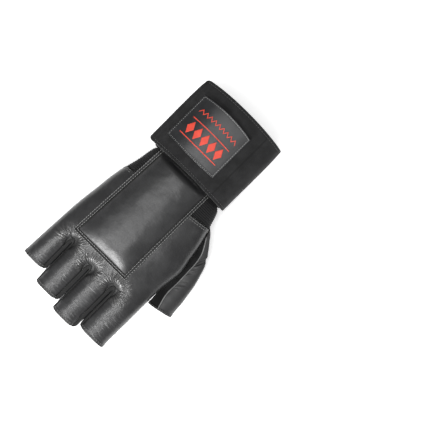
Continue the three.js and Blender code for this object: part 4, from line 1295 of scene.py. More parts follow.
@dataclass
class LeatherHand:
    """Leather of one face of the hand, with its half of the four finger stalls."""

    side: Side
    node: str
    creases: tuple[Creases, ...]
    seed: int
    wall: float = 1.5 * MM
    fold: float = 0.2 * MM
    fold_width: float = 3.2 * MM
    stitch_rows: Pair = (0.9 * MM, 2.7 * MM)
    groove: float = 0.22 * MM
    turned: float = 1.1 * MM
    turn_width: float = 3.4 * MM
    body_length: float = 90 * MM
    stroke_width: float = 1.1 * MM
    stroke_length: float = 8 * MM
    fan_reach: float = 21 * MM
    dimple: float = 1.6 * MM
    dimple_reach: float = 9 * MM

    def lanes(self) -> Blank:
        """Sheet of four lanes that are joined up to the roots of the slits."""
        columns = steps(26 * MM, 0.85 * MM, 0.42 * MM, 3.4 * MM)
        body = steps(self.body_length, 1.05 * MM, 0.5 * MM, 4 * MM)
        stall = steps(50 * MM, 0.9 * MM, 0.42 * MM, 5 * MM)[1:]
        points, numbers, marks, count = [], [], [], 0
        for lane in range(4):
            root = lerp(HAND.root(lane), HAND.root(lane + 1), columns)
            hem = HAND.hem_of(self.side, lane, columns)
            end = HAND.stall_end(self.side, lane, columns)
            y = np.concatenate([lerp(hem, root, body[:, None]), lerp(root, end, stall[:, None])])
            grid = HAND.point(self.side, lane, np.broadcast_to(columns, y.shape), y)
            fresh = np.ones(y.shape, bool)
            number = np.zeros(y.shape, int)
            if lane > 0:
                fresh[: len(body), 0] = False
                number[: len(body), 0] = numbers[-1][: len(body), -1]
            number[fresh] = count + np.arange(fresh.sum())
            count += fresh.sum()
            points.append(grid[fresh])
            marks.append(np.stack([end - y, y - hem], axis=-1)[fresh])
            numbers.append(number)
        corners = [(n[:-1, :-1], n[:-1, 1:], n[1:, 1:], n[1:, :-1]) for n in numbers]
        quads = [np.stack(corner, axis=-1).reshape(-1, 4) for corner in corners]
        distances = np.concatenate(marks)
        blank = Blank(np.concatenate(points), np.concatenate(quads))
        blank.marks = {"to_end": distances[:, 0], "to_hem": distances[:, 1]}
        return blank.facing(np.array([0, 0, self.side.value]))

    def slit_outline(self, line: int) -> Array:
        """Edge of the leather round one slit, from the end of one stall to the end of the next."""
        share = steps(50 * MM, 0.8 * MM, 0.3 * MM, 6 * MM)
        thumbward, littleward = HAND.slit_edges(self.side, line, share)
        return np.concatenate([thumbward[:0:-1], littleward])

    def side_outlines(self) -> Array:
        """Lines of the two side seams."""
        y = np.linspace(-60, 124, 260) * MM
        seam = HAND.seam(y)
        return np.concatenate([xyz(side(y), y, seam) for side in (HAND.thumb_side, HAND.little_side)])

    def mark_fans(self, blank: Blank) -> None:
        """Marks where the leather is wrinkled round the roots of the slits, the way the wrinkles run, and
        where the material paints highlights on them.
        """
        middle = HAND.roots + HAND.slit_rounding / 2
        lines = [HAND.touch(line, middle[line - 1]) for line in (1, 2, 3)]
        away = blank.points[:, None, :2] - np.stack([lines, middle], axis=-1)
        reach = np.linalg.norm(away, axis=-1)
        number = np.argmin(reach, axis=1)
        away, near = away[np.arange(len(number)), number], np.sort(reach, axis=1)
        turn = np.arctan2(away[:, 0], -away[:, 1])
        bend = 0.12 * Mottle(self.seed + 50)(blank.points, 7 * MM)
        blank.marks["fan_turn"] = (turn + bend) * 8 * MM / self.stroke_width + 40 * number
        blank.marks["fan_reach"] = near[:, 0] / self.stroke_length
        apart = smoothstep(near[:, 1] - near[:, 0], 1.5 * MM, 5 * MM)
        fan = smoothstep(near[:, 0], 4 * MM, 8 * MM) * fade(near[:, 0], 12 * MM, self.fan_reach)
        patches = 0.8 + 0.45 * Mottle(self.seed + 60)(blank.points, 6 * MM)
        behind = fade(blank.points[:, 1] - middle[number], 2 * MM, 12 * MM)
        blank.marks["fan"] = np.clip(fan * apart * patches * behind, 0, 1)
        on_stall = smoothstep(blank.points[:, 1] - middle[number], -8 * MM, 4 * MM)
        blank.marks["crest"] = on_stall * (0.6 + 0.4 * patches)
        blank.marks["dimple"] = fade(near[:, 0], 2 * MM, self.dimple_reach)

    def relief(self, blank: Blank) -> Array:
        """Height of folds, hems and seams over the sheet; it also marks the seams, with painted shade along
        the slits in the same mark.
        """
        points = blank.points
        to_end, to_hem = blank.marks.pop("to_end"), blank.marks.pop("to_hem")
        to_slit = np.full(len(points), 1.0)
        beyond = points[:, 1] > HAND.roots.min() - 12 * MM
        for line in (1, 2, 3):
            near = nearest(points[beyond], self.slit_outline(line))
            to_slit[beyond] = np.minimum(to_slit[beyond], near)
        to_side = nearest(points, self.side_outlines())
        height = undulation(points, {26: 0.32, 9: 0.1, 4: 0.035}, self.seed)
        height = height + crumple(points, self.creases, self.seed)
        height = height * smoothstep(np.minimum(to_slit, to_side), 0, 3 * MM)
        fold_ends = self.fold_width + 0.8 * MM
        for distance in (to_end, to_hem):
            height = height + self.fold * fade(distance, self.fold_width, fold_ends)
        height = height - self.turned * fade(to_slit, 0, self.turn_width) ** 1.4
        height = height - 0.5 * self.turned * fade(to_side, 0, 1.6 * MM) ** 1.4
        height = height - self.dimple * blank.marks.pop("dimple")
        rows = sum(bell(d - row, 0.32 * MM) for d in (to_end, to_hem) for row in self.stitch_rows)
        hem = fade(to_end, self.fold_width - 0.6 * MM, self.fold_width + 0.4 * MM)
        # Painted shade: the leather darkens within a few millimetres of each slit, for the shaded valley
        # between the stalls.
        slit = fade(to_slit, 1.5 * MM, 5 * MM)
        blank.marks["seam"] = np.clip(rows * 0.8 + hem * 0.6 + slit, 0, 1)
        blank.marks["unworn"] = fade(np.minimum(to_end, to_slit), 1 * MM, 3 * MM)
        return height - self.groove * rows

    def row(self, lane: int, shares: Array, y: Array) -> Path:
        """Line over one lane of the leather."""
        step = 0.3 * MM
        points = HAND.point(self.side, lane, shares, y)
        across = HAND.point(self.side, lane, np.minimum(shares + 0.01, 1), y)
        across = across - HAND.point(self.side, lane, np.maximum(shares - 0.01, 0), y)
        onward = HAND.point(self.side, lane, shares, y + step)
        onward = onward - HAND.point(self.side, lane, shares, y - step)
        return Path(points, unit(np.cross(across, onward)) * self.side.value)

    def stitching(self) -> Blank:
        """Two rows of stitches at each stall's end, and two along the hem where it shows."""
        shares = np.linspace(0.04, 0.96, 40)
        paths = []
        for lane in range(4):
            for inset in self.stitch_rows:
                paths.append(self.row(lane, shares, HAND.stall_end(self.side, lane, shares) - inset))
                if lane in (0, 3) or self.side is Side.PALM:
                    path = self.row(lane, shares, HAND.hem_of(self.side, lane, shares) + inset)
                    if self.side is Side.BACK:
                        x = path.points[:, 0]
                        path = path.where((x < BACK_PAD.outer_x[0]) | (x > BACK_PAD.outer_x[1]))
                    paths.append(path)
        return Blank.joined([Stitch().along(path.raised(self.fold - self.groove * 0.7)) for path in paths])

    def build(self, shop: Workshop) -> None:
        """Makes the leather and its stitching."""
        sheet = self.lanes()
        self.mark_fans(sheet)
        height = self.relief(sheet)
        body = sheet.thickened(self.wall, height)
        body.marks["edge"] = body.marks["edge"] * (1 - body.marks.pop("unworn"))
        shop.add(self.node, body, Finish.LEATHER, Slot.LEATHER, [self.node])
        shop.add(f"{self.node}_stitching", self.stitching(), Finish.HEM_THREAD, Slot.LEATHER)


@dataclass
class FingerGussets:
    """Strips between the stalls, sewn to the leather from inside, and painted darker than it as shade between
    the stalls.
    """

    names: tuple[str, ...] = ("index_middle", "middle_ring", "ring_little")
    wall: float = 1.3 * MM
    bulge: float = 4 * MM
    root_tuck: float = 2 * MM
    sunk: float = 0.9 * MM
    clearance: float = 0.05 * MM
    wave: float = 0.4 * MM

    def rail(self, line: int, side: Side, step: Array) -> Array:
        """Edge of the strip under the leather, from one stall's end, -1, to the next one's, 1."""
        thumbward, littleward = HAND.slit_edges(side, line, np.abs(step))
        points = np.where((step >= 0)[:, None], littleward, thumbward)
        sunk = self.sunk * fade(np.abs(step), 0.8, 1) + self.root_tuck * (1 - np.abs(step)) ** 8
        points[:, 2] -= side.value * (HAND.seam_gap + sunk)
        return points

    def strip(self, line: int) -> Blank:
        """Closed body of one strip."""
        run = steps(50 * MM, 0.9 * MM, 0.35 * MM, 6 * MM)
        step = np.concatenate([-run[::-1], run[1:]])
        across = np.linspace(0, 1, 26)
        upper, lower = (self.rail(line, side, step) for side in Side)
        points = lerp(upper[:, None], lower[:, None], across[None, :, None])
        bulge = 1 - (2 * across - 1) ** 4
        touch = HAND.touch(line, points[..., 1]) + np.sign(step)[:, None] * self.clearance
        touch = touch - self.wave * np.sin(2 * np.pi * across)
        points[..., 0] = lerp(points[..., 0], touch, bulge)
        points[..., 1] += self.bulge * bulge * (1 - np.abs(step))[:, None] ** 6
        blank = Blank.grid(points)
        y = blank.points[:, 1]
        turn = np.pi / 2 * np.clip((y - HAND.root(line)) / HAND.slit_rounding, 0, 1)
        sign = np.repeat(np.sign(step), len(across))
        away = np.stack([-sign * np.sin(turn), np.cos(turn), np.zeros(len(y))], axis=-1)
        blank.facing(away)
        height = undulation(blank.points, {12: 0.25, 4: 0.08}, 60 + line)
        down = np.tile(across, len(step))
        # Painted shade: the strip darkens along both edges, in the grooves where it meets the stalls.
        blank.marks["seam"] = fade(np.minimum(down, 1 - down), 0.06, 0.2)
        height = height * smoothstep(np.minimum(down, 1 - down), 0, 0.2)
        return blank.thickened(self.wall, height, roll=0, inner=blank.points - away * self.wall)

    def build(self, shop: Workshop) -> None:
        """Makes the three strips."""
        for line, name in enumerate(self.names, 1):
            node = f"finger_gusset_{name}"
            shop.add(node, self.strip(line), Finish.SHADED_INSET, Slot.LEATHER, [node])


@dataclass(frozen=True)
class PadForm:
    """Place of a cushion on the hand: its corners seen from above, and the border round it."""

    side: Side
    front: float
    rear: float
    thumb_x: Pair
    little_x: Pair
    border: float
    thick: float
    rim: float
    shoulders: Triple
    gap: float = 0.7 * MM
    roundness: float = 2.2
    steepness: float = 0.75

    @property
    def outer_x(self) -> Pair:
        """Outer edges of the border across the hand."""
        out = HAND.seam_gap + self.border
        return min(self.thumb_x) - out, max(self.little_x) + out

    @property
    def size(self) -> Pair:
        """Width and length of the cushion."""
        return self.little_x[1] - self.thumb_x[1], self.front - self.rear

    def place(self, margin: Measure, across: Array, along: Array) -> tuple[Array, Array]:
        """Place seen from above, from shares of the cushion moved out by a margin."""
        thumb_side = lerp(*self.thumb_x, along) - margin
        little_side = lerp(*self.little_x, along) + margin
        y = lerp(self.rear - margin, self.front + margin, along)
        return lerp(thumb_side, little_side, across), y

    def to_edge(self, across: Array, along: Array) -> tuple[Array, Array]:
        """Distances to the nearer side and the nearer end."""
        width, length = self.size
        return np.minimum(across, 1 - across) * width, np.minimum(along, 1 - along) * length

    def margin(self, across: Array, along: Array) -> Array:
        """Distance of each point of the cushion's grid from its nearest edge."""
        return np.minimum(*self.to_edge(across, along)).ravel()

    def fullness(self, across: Array, along: Array) -> Array:
        """How full the cushion is: it rises steeply from its edge and levels off over its shoulder."""
        width, length = self.size
        distances = (np.minimum(across, 1 - across) * width, (1 - along) * length, along * length)
        full = 1.0
        for distance, shoulder in zip(distances, self.shoulders):
            share = np.clip(distance / shoulder, 0, 1)
            full = full * (1 - (1 - share) ** self.roundness) ** self.steepness
        return full

    def grid(self) -> tuple[Array, Array]:
        """Shares of a grid over the cushion."""
        width, length = self.size
        across = steps(width, 0.85 * MM, 0.4 * MM, 3 * MM)
        along = steps(length, 0.85 * MM, 0.4 * MM, 3 * MM)
        return np.meshgrid(across, along)

    def puckers(self, x: Array, y: Array, across: Array, along: Array, pitch: float) -> Array:
        """Small folds that run in from the stitched edge, from 0 to 1."""
        to_side, to_end = self.to_edge(across, along)
        wander = Mottle(31)(xyz(x, y, 0 * x).reshape(-1, 3), 7 * MM).reshape(x.shape)
        by_side, by_end = (
            (0.5 + 0.5 * np.sin(2 * np.pi * place / pitch + 3 * wander)) * bell(distance - 2.4 * MM, 2.2 * MM)
            for place, distance in ((y, to_side), (x, to_end))
        )
        return np.maximum(by_side, by_end)


BACK_PAD = PadForm(
    Side.BACK, 54.2 * MM, -48.5 * MM, (-12.4 * MM, -11.6 * MM), (39.8 * MM, 45.3 * MM),
    border=3.1 * MM, thick=1.1 * MM, rim=0.9 * MM, shoulders=(26 * MM, 20 * MM, 11 * MM),
)
PALM_PAD = PadForm(
    Side.PALM, 47 * MM, -38.6 * MM, (-5.8 * MM, -1.8 * MM), (41.6 * MM, 49.6 * MM),
    border=4.4 * MM, thick=1 * MM, rim=1.2 * MM, shoulders=(10 * MM, 10 * MM, 10 * MM),
)


@dataclass
class PadBorder:
    """Stitched strip round a cushion: raised at both edges, with a row of stitches along each; its ridges
    carry a painted highlight and its middle groove painted shade.
    """

    pad: PadForm
    node: str
    step: float = 0.9 * MM
    rows: Pair = (0.16, 0.84)
    ridge: float = 0.45 * MM
    groove: float = 0.4 * MM

    def loop(self) -> tuple[Array, Array]:
        """Shares round the four sides of the cushion."""
        width, length = self.pad.size
        sides = []
        corners = [(0, 0), (1, 0), (1, 1), (0, 1), (0, 0)]
        for start, end in zip(corners[:-1], corners[1:]):
            run = width if start[1] == end[1] else length
            share = np.arange(0, 1 - 1e-6, 1 / round(run / self.step))
            sides.append(lerp(np.array([start]), np.array([end]), share[:, None]))
        places = np.concatenate(sides)
        return places[:, 0], places[:, 1]

    def line(self, share: float, height: float) -> Path:
        """Line round the border, at a share of its width."""
        across, along = self.loop()
        x, y = self.pad.place(HAND.seam_gap + share * self.pad.border, across, along)
        side = self.pad.side
        path = Path(HAND.on_face(side, x, y, self.pad.gap + self.pad.thick), HAND.face_normal(side, x, y))
        return path.raised(height)

    def strip(self) -> Blank:
        """Closed body of the border."""
        shares = np.linspace(0, 1, 15)
        across, along = self.loop()
        x, y = self.pad.place(HAND.seam_gap + shares[:, None] * self.pad.border, across, along)
        points = HAND.on_face(self.pad.side, x, y, self.pad.gap + self.pad.thick)
        blank = Blank.grid(points, ring=True).facing(np.array([0, 0, self.pad.side.value]))
        share = np.repeat(shares, len(across))
        ridges = sum(bell(share - row, 0.13) for row in self.rows)
        height = self.ridge * ridges - self.groove * bell(share - 0.5, 0.17)
        height = height + undulation(blank.points, {6: 0.12, 2.5: 0.06}, 41)
        # Painted shade: the groove between the two ridges is darkened.
        blank.marks["seam"] = bell(share - 0.5, 0.18)
        # Painted highlight: the two ridges are painted paler through the edge mark, standing in for the light
        # on their crests.
        blank.marks["edge"] = ridges * 0.3
        return blank.thickened(self.pad.thick, height)

    def build(self, shop: Workshop) -> None:
        """Makes the border and its two rows of stitches."""
        shop.add(self.node, self.strip(), Finish.LEATHER, Slot.LEATHER, [self.node])
        rows = [Stitch().along(self.line(row, self.ridge)) for row in self.rows]
        shop.add(f"{self.node}_stitching", Blank.joined(rows), Finish.THREAD, Slot.LEATHER)


@dataclass
class BackCushion:
    """Domed cushion on the back, drawn down where it passes under the strap."""

    pad: PadForm = BACK_PAD
    crown: float = 5.8 * MM
    tuck: Pair = (-39 * MM, -46.5 * MM)
    tucked: float = 0.7 * MM
    pucker: float = 0.06 * MM

    def build(self, shop: Workshop) -> None:
        """Makes the cushion."""
        across, along = self.pad.grid()
        x, y = self.pad.place(0, across, along)
        stand = lerp(self.crown, self.tucked, smoothstep(-y, -self.tuck[0], -self.tuck[1]))
        height = self.pad.rim + stand * self.pad.fullness(across, along)
        height = height - self.pucker * self.pad.puckers(x, y, across, along, 4.6 * MM)
        base = HAND.on_face(Side.BACK, x, y, self.pad.gap)
        blank = Blank.grid(base + np.array([0, 0, 1]) * height[..., None]).facing(np.array([0, 0, 1]))
        swell = undulation(blank.points, {20: 0.4, 9: 0.2, 4.5: 0.05}, 71)
        margin = self.pad.margin(across, along)
        inside = smoothstep(margin, 0, 5 * MM)
        blank.marks["seam"] = fade(margin, 0, 1.6 * MM)
        body = blank.thickened(0, swell * inside, inner=base.reshape(-1, 3))
        shop.add("back_pad", body, Finish.CUSHION, Slot.LEATHER, ["back_pad"])
        PadBorder(self.pad, "back_pad_border").build(shop)


@dataclass
class PalmCushion:
    """Cushion on the palm: flat where the glove rests on it, crumpled, with sewn creases across."""

    pad: PadForm = PALM_PAD
    crease: float = 15.6 * MM
    crease_x: Pair = (0.5 * MM, 45 * MM)
    crease_depth: float = 2 * MM
    lower_crease: float = -34 * MM
    folds: tuple[Creases, ...] = (
        Creases(30, 38, 12, 6, -35, 8, 20, 0.5, width=1.6),
        Creases(12, 32, 8, 8, 60, 7, 18, 0.5, width=1.7),
        Creases(6, 10, 6, 8, 60, 6, 14, 0.4, width=1.3),
        Creases(24, -34, 14, 3, 4, 5, 22, 0.35, width=1.2),
    )

    def build(self, shop: Workshop) -> None:
        """Makes the cushion."""
        across, along = self.pad.grid()
        x, y = self.pad.place(0, across, along)
        base = HAND.on_face(Side.PALM, x, y, self.pad.gap)
        full = self.pad.fullness(across, along)
        points = base.copy()
        points[..., 2] = lerp(base[..., 2] - self.pad.rim, 0, full)
        flat = points.reshape(-1, 3)
        reach = smoothstep(x, self.crease_x[0] - 2 * MM, self.crease_x[0] + 3 * MM)
        reach = reach * fade(x, self.crease_x[1] - 3 * MM, self.crease_x[1] + 2 * MM)
        sag = self.crease + 1.2 * MM * (x - 20 * MM) / (20 * MM)
        dent = self.crease_depth * reach * (bell(y - sag, 0.5 * MM) * 0.5 + bell(y - sag, 2.6 * MM) * 0.5)
        dent = dent + 0.5 * MM * bell(y - self.lower_crease, 1 * MM) * fade(x, 9 * MM, 15 * MM)
        dent = dent + 0.6 * MM * self.pad.puckers(x, y, across, along, 5.5 * MM)
        crumpled = crumple(flat, self.folds, 91) + undulation(flat, {16: 0.35, 6: 0.12}, 95)
        lift = np.maximum(0.15 * MM - crumpled.reshape(x.shape), 0) + dent
        points[..., 2] = np.maximum(points[..., 2] + lift * np.sqrt(full), 0)
        blank = Blank.grid(points).facing(np.array([0, 0, -1]))
        sewn = (reach * bell(y - sag, 0.7 * MM)).ravel()
        blank.marks["seam"] = np.maximum(fade(self.pad.margin(across, along), 0, 1.6 * MM), sewn)
        body = blank.thickened(0, 0, inner=base.reshape(-1, 3))
        shop.add("palm_pad", body, Finish.LEATHER, Slot.LEATHER, ["palm_pad"])
        PadBorder(self.pad, "palm_pad_border").build(shop)


@dataclass
class ThumbStall:
    """Open thumb: leather outside, suede round the ball of the thumb, and piped seams between the two."""

    leather_wall: float = 1.5 * MM
    suede_wall: float = 1.4 * MM
    clearance: float = 0.25 * MM
    loop_length: float = 190 * MM
    end_length: float = 70 * MM
    length: float = 75 * MM
    piping: float = 0.6 * MM
    seam_out: float = 0.4 * MM
    hem: float = 2.2 * MM
    folds: tuple[Creases, ...] = (
        Creases(-51, 7, 4, 9, 64, 8, 22, 0.85, width=1.2),
        Creases(-54, 24, 4, 8, 35, 6, 10, 0.2, width=0.8),
    )
    suede_folds: tuple[Creases, ...] = (
        Creases(-30, 10, 12, 16, 50, 10, 18, 0.4, width=1.6),
        Creases(-44, 22, 6, 12, 35, 8, 12, 0.35, width=1.2),
    )

    def skin(
        self, start: Callable, end: Callable, columns: int, wall: float, folds: tuple, seed: int
    ) -> Blank:
        """Closed body of one skin.

        Args:
            start: Turn of its first edge, at a place along the thumb.
            end: Turn of its last edge.
            columns: Steps round it.
            wall: Its thickness.
            folds: Its creases.
            seed: Seed of its creases and swells.

        Returns:
            The skin, with a folded hem at the thumb's end.
        """
        along = steps(85 * MM, 0.85 * MM, 0.42 * MM, 5 * MM)[:, None]
        share = np.linspace(0, 1, columns)[None, :]
        clear = self.clearance / lerp(self.loop_length, self.end_length, along)
        turns = lerp(start(along) + clear, end(along) - clear, share)
        along = np.broadcast_to(along, turns.shape)
        points = THUMB.point(turns, along)
        blank = Blank.grid(points).facing(THUMB.normal(turns, along).reshape(-1, 3) * self.out_sign())
        to_end = (1 - along.ravel()) * self.length
        height = crumple(blank.points, folds, seed) + undulation(blank.points, {14: 0.3, 5: 0.1}, seed)
        inside = smoothstep(np.tile(np.minimum(share, 1 - share).ravel(), len(points)), 0, 0.12)
        height = height * inside * smoothstep(along.ravel(), 0, 0.08)
        height = height + 0.3 * MM * fade(to_end, 3 * MM, 3.8 * MM)
        blank.marks["seam"] = bell(to_end - self.hem, 0.4 * MM)
        return blank.thickened(wall, height - 0.2 * MM * blank.marks["seam"])

    @staticmethod
    def out_sign() -> int:
        """Sign that turns the thumb's normals outwards."""
        turns, along = np.array([0.25, 0.75]), np.array([1.0, 1.0])
        points, normals = THUMB.point(turns, along), THUMB.normal(turns, along)
        return 1 if np.dot(points[0] - points[1], normals[0]) > 0 else -1

    def line(self, turns: Array, along: Array) -> Path:
        """Line on the thumb."""
        return Path(THUMB.point(turns, along), THUMB.normal(turns, along) * self.out_sign())

    def hand_seam(self) -> Path:
        """Line of the hand's side seam, beside the thumb."""
        y = np.linspace(-24.5, 41, 120) * MM
        return Path.level(xyz(HAND.thumb_side(y) - self.seam_out, y, HAND.seam(y) + self.seam_out))

    def build(self, shop: Workshop) -> None:
        """Makes the two skins, the piping, the hem's stitches and the seam round the crotch of the thumb."""
        leather = self.skin(THUMB.under, THUMB.over, 60, self.leather_wall, self.folds, 111)
        shop.add("thumb_leather", leather, Finish.THUMB, Slot.LEATHER, ["thumb_leather"])
        suede = self.skin(
            THUMB.over, lambda along: 1 + THUMB.under(along), 190, self.suede_wall, self.suede_folds, 131
        )
        shop.add("thumb_suede", suede, Finish.SUEDE, Slot.SUEDE, ["thumb_suede"])
        along = np.linspace(0.02, 1, 110)
        piping = [tube(self.line(edge(along), along), self.piping) for edge in (THUMB.over, THUMB.under)]
        shop.add("thumb_piping", Blank.joined(piping), Finish.HIGHLIT_PIPING, Slot.LEATHER)
        shop.add("thumb_crotch_seam", tube(self.hand_seam(), self.piping), Finish.SUEDE, Slot.SUEDE)
        turns = np.linspace(0, 1, 120)
        hem = self.line(turns, np.full(len(turns), 1 - self.hem / self.length))
        stitches = Stitch().along(hem.raised(0.12 * MM))
        shop.add("thumb_stitching", stitches, Finish.DARK_THREAD, Slot.LEATHER)


@dataclass
class StretchFabric:
    """Ribbed fabric of the wrist and the palm, in horizontal ribs."""

    wall: float = 1.4 * MM
    rib: float = 1.75 * MM
    rib_height: float = 0.36 * MM
    wrist_end: float = -57 * MM

    @staticmethod
    def suede_edge(y: Array) -> Array:
        """Thumb-side edge of the palm's fabric, beside the suede."""
        return lerp(-9.5 * MM, -6.5 * MM, np.clip((y + 31 * MM) / (73 * MM), 0, 1)) + 2 * HAND.seam_gap

    def piece(self, side: Side, from_x: Callable, to_y: Callable) -> Blank:
        """Closed body of fabric from a line across the hand to the little-finger side."""
        share = steps(80 * MM, 0.9 * MM, 0.45 * MM, 3 * MM)
        length = 40 * MM if side is Side.BACK else 99 * MM
        along = np.linspace(0, 1, round(length / (0.27 * MM)) + 1)[:, None]

        def section(y: Array) -> tuple[Array, Array]:
            """Places across the fabric, and how far up the arch each is."""
            middle, half = HAND.middle(y)
            ends = from_x(y), HAND.little_side(y)
            across, up = arch_run(middle, half, ends, share, HAND.hand_roundness)
            return middle - half * across, up

        reference = section(np.full(len(share), HAND.hem_measured_at))[0]
        y = lerp(self.wrist_end, to_y(reference), along)
        x, up = section(y)
        seam = HAND.seam(y)
        z = seam + side.value * (HAND.seam_gap / 2 + np.abs(HAND.levels[side](y) - seam) * up)
        blank = Blank.grid(xyz(x, y, z)).facing(np.array([0, 0, side.value]))
        turn = 2 * np.pi * blank.points[:, 1] / self.rib
        ribs = 0.5 + 0.5 * np.sin(turn + 0.8 * Mottle(7)(blank.points, 9 * MM))
        blank.marks["rib"] = ribs
        height = self.rib_height * (ribs - 1) + undulation(blank.points, {14: 0.25}, 151)
        to_end = (1 - np.broadcast_to(along, y.shape).ravel()) * length
        return blank.thickened(self.wall, height * smoothstep(to_end, 0, 1.5 * MM))

    def build(self, shop: Workshop) -> None:
        """Makes the two pieces of fabric."""
        gap = HAND.seam_gap
        rib = self.piece(Side.BACK, HAND.thumb_side, lambda x: HAND.hem_at(x) - gap)
        shop.add("wrist_rib", rib, Finish.RIBBED, Slot.RIB, ["wrist_rib"])
        palm = self.piece(Side.PALM, self.suede_edge, lambda x: np.full(np.shape(x), HAND.palm_hem - gap))
        shop.add("palm_fabric", palm, Finish.RIBBED, Slot.RIB, ["palm_fabric"])


@dataclass
class WristCuff:
    """Brushed cuff round the wrist, and the folded tape that binds its end."""

    wall: float = 1.6 * MM
    front: Pair = (-43.6 * MM, -46.2 * MM)
    end: float = -118.2 * MM
    stitch_line: float = -99 * MM
    tape_end: float = -119.6 * MM
    tape_depth: float = 4 * MM
    tape_wall: float = 0.8 * MM
    columns: int = 260

    def __post_init__(self) -> None:
        """Places the columns round the wrist."""
        self.angle = 2 * np.pi * np.arange(self.columns) / self.columns

    def sleeve(self) -> Blank:
        """Closed body of the cuff."""
        front = lerp(*self.front, (1 + np.sin(self.angle)) / 2)
        along = steps(74 * MM, 0.9 * MM, 0.5 * MM, 3 * MM)[:, None]
        blank = Blank.grid(WRIST.point(self.angle, lerp(front, self.end, along), 0), ring=True)
        blank = blank.away_from(WRIST.axis(blank.points))
        y = blank.points[:, 1]
        under = blank.points[:, 2] < WRIST.centre_z
        line = bell(y - self.stitch_line, 0.5 * MM) * under
        height = undulation(blank.points, {18: 0.25, 6: 0.06}, 171)
        height = height * smoothstep(y, self.end, self.end + 8 * MM)
        low = smoothstep(WRIST.centre_z - blank.points[:, 2], 10 * MM, 17 * MM)
        blank.marks["seam"] = line * 0.6
        return blank.thickened(self.wall, height - 0.25 * MM * line - 0.3 * MM * low)

    def tape(self) -> Blank:
        """Closed body of the binding, folded round the cuff's end."""
        outer = HAND.seam_gap + self.tape_wall
        inner = -self.wall - HAND.seam_gap - self.tape_wall
        radius, core = (outer - inner) / 2, (outer + inner) / 2
        front, turn_at = self.tape_end + self.tape_depth, self.tape_end + radius
        straight = np.linspace(front, turn_at, 8)[:-1]
        angle = np.linspace(0, np.pi, 17)
        y = np.concatenate([straight, turn_at - radius * np.sin(angle), straight[::-1]])
        outside, inside = (np.full(len(straight), face) for face in (outer, inner))
        out = np.concatenate([outside, core + radius * np.cos(angle), inside])
        blank = Blank.grid(WRIST.point(self.angle, y[:, None], out[:, None]), ring=True)
        blank = blank.away_from(WRIST.point(self.angle, np.full((len(y), 1), turn_at), core).reshape(-1, 3))
        ribs = undulation(blank.points, {3: 0.06, 1.2: 0.04}, 181)
        return blank.thickened(self.tape_wall, ribs)

    def build(self, shop: Workshop) -> None:
        """Makes the cuff, its binding and the binding's stitches."""
        shop.add("wrist_cuff", self.sleeve(), Finish.ELASTIC, Slot.ELASTIC, ["wrist_cuff"])
        shop.add("cuff_binding", self.tape(), Finish.ELASTIC, Slot.ELASTIC, ["cuff_binding"])
        y = self.tape_end + self.tape_depth - 0.8 * MM
        path = Path.on_wrist(WRIST.point, np.linspace(0, 2 * np.pi, 400), y, HAND.seam_gap + self.tape_wall)
        shop.add("binding_stitching", Stitch().along(path), Finish.THREAD, Slot.ELASTIC)


@dataclass
class WristStrap:
    """Wide strap over the back of the wrist, with bowed edges, woven selvedges and a free end."""

    selvedge: float = 2.6 * MM
    seam_x: float = -15.6 * MM
    end_stitch: float = 3.4 * MM
    width: float = 74 * MM

    def rows(self) -> tuple[Array, Array]:
        """Places along the strap's line and shares across its width."""
        arc = np.linspace(0, 1, 150)
        free = 1 + steps(WRIST.free_run, 0.8 * MM, 0.3 * MM, 3.5 * MM)[1:]
        return np.concatenate([arc, free]), steps(self.width, 0.85 * MM, 0.4 * MM, 4 * MM)

    def band(self) -> Blank:
        """Closed body of the strap."""
        place, along = self.rows()
        y = WRIST.row(place[None, :], along[:, None])
        blank = Blank.grid(WRIST.line(np.broadcast_to(place, y.shape), y, WRIST.strap_face))
        blank = blank.away_from(WRIST.axis(blank.points))
        x = blank.points[:, 0]
        to_edge = np.repeat(np.minimum(along, 1 - along) * self.width, len(place))
        to_free_end = (2 - np.tile(place, len(along))) * WRIST.free_run
        back = blank.points[:, 2] > WRIST.centre_z
        seam = bell(x - self.seam_x, 0.6 * MM) * back
        line = bell(to_edge - self.selvedge, 0.45 * MM)
        end_line = bell(to_free_end - self.end_stitch, 0.45 * MM) * (np.tile(place, len(along)) > 1)
        lines = np.maximum(line, end_line)
        height = undulation(blank.points, {30: 0.35, 12: 0.14, 5: 0.04}, 201)
        height = height - 0.22 * MM * lines - 0.35 * MM * seam
        blank.marks["seam"] = np.clip(0.5 * lines + 0.9 * seam, 0, 1)
        return blank.thickened(WRIST.strap_wall, height)

    def build(self, shop: Workshop) -> None:
        """Makes the strap and the stitches along its edges."""
        shop.add("wrist_strap", self.band(), Finish.ELASTIC, Slot.ELASTIC, ["wrist_strap"])
        place = np.linspace(0.02, 2 - self.end_stitch / WRIST.free_run, 300)
        runs = []
        for along in (0.0, 1.0):
            y = WRIST.row(place, np.full(len(place), along), self.selvedge)
            path = Path.on_wrist(WRIST.line, place, y, WRIST.strap_face)
            runs.append(Stitch(radius=0.2 * MM).along(path.raised(-0.05 * MM)))
        shop.add("strap_stitching", Blank.joined(runs), Finish.DARK_THREAD, Slot.ELASTIC)


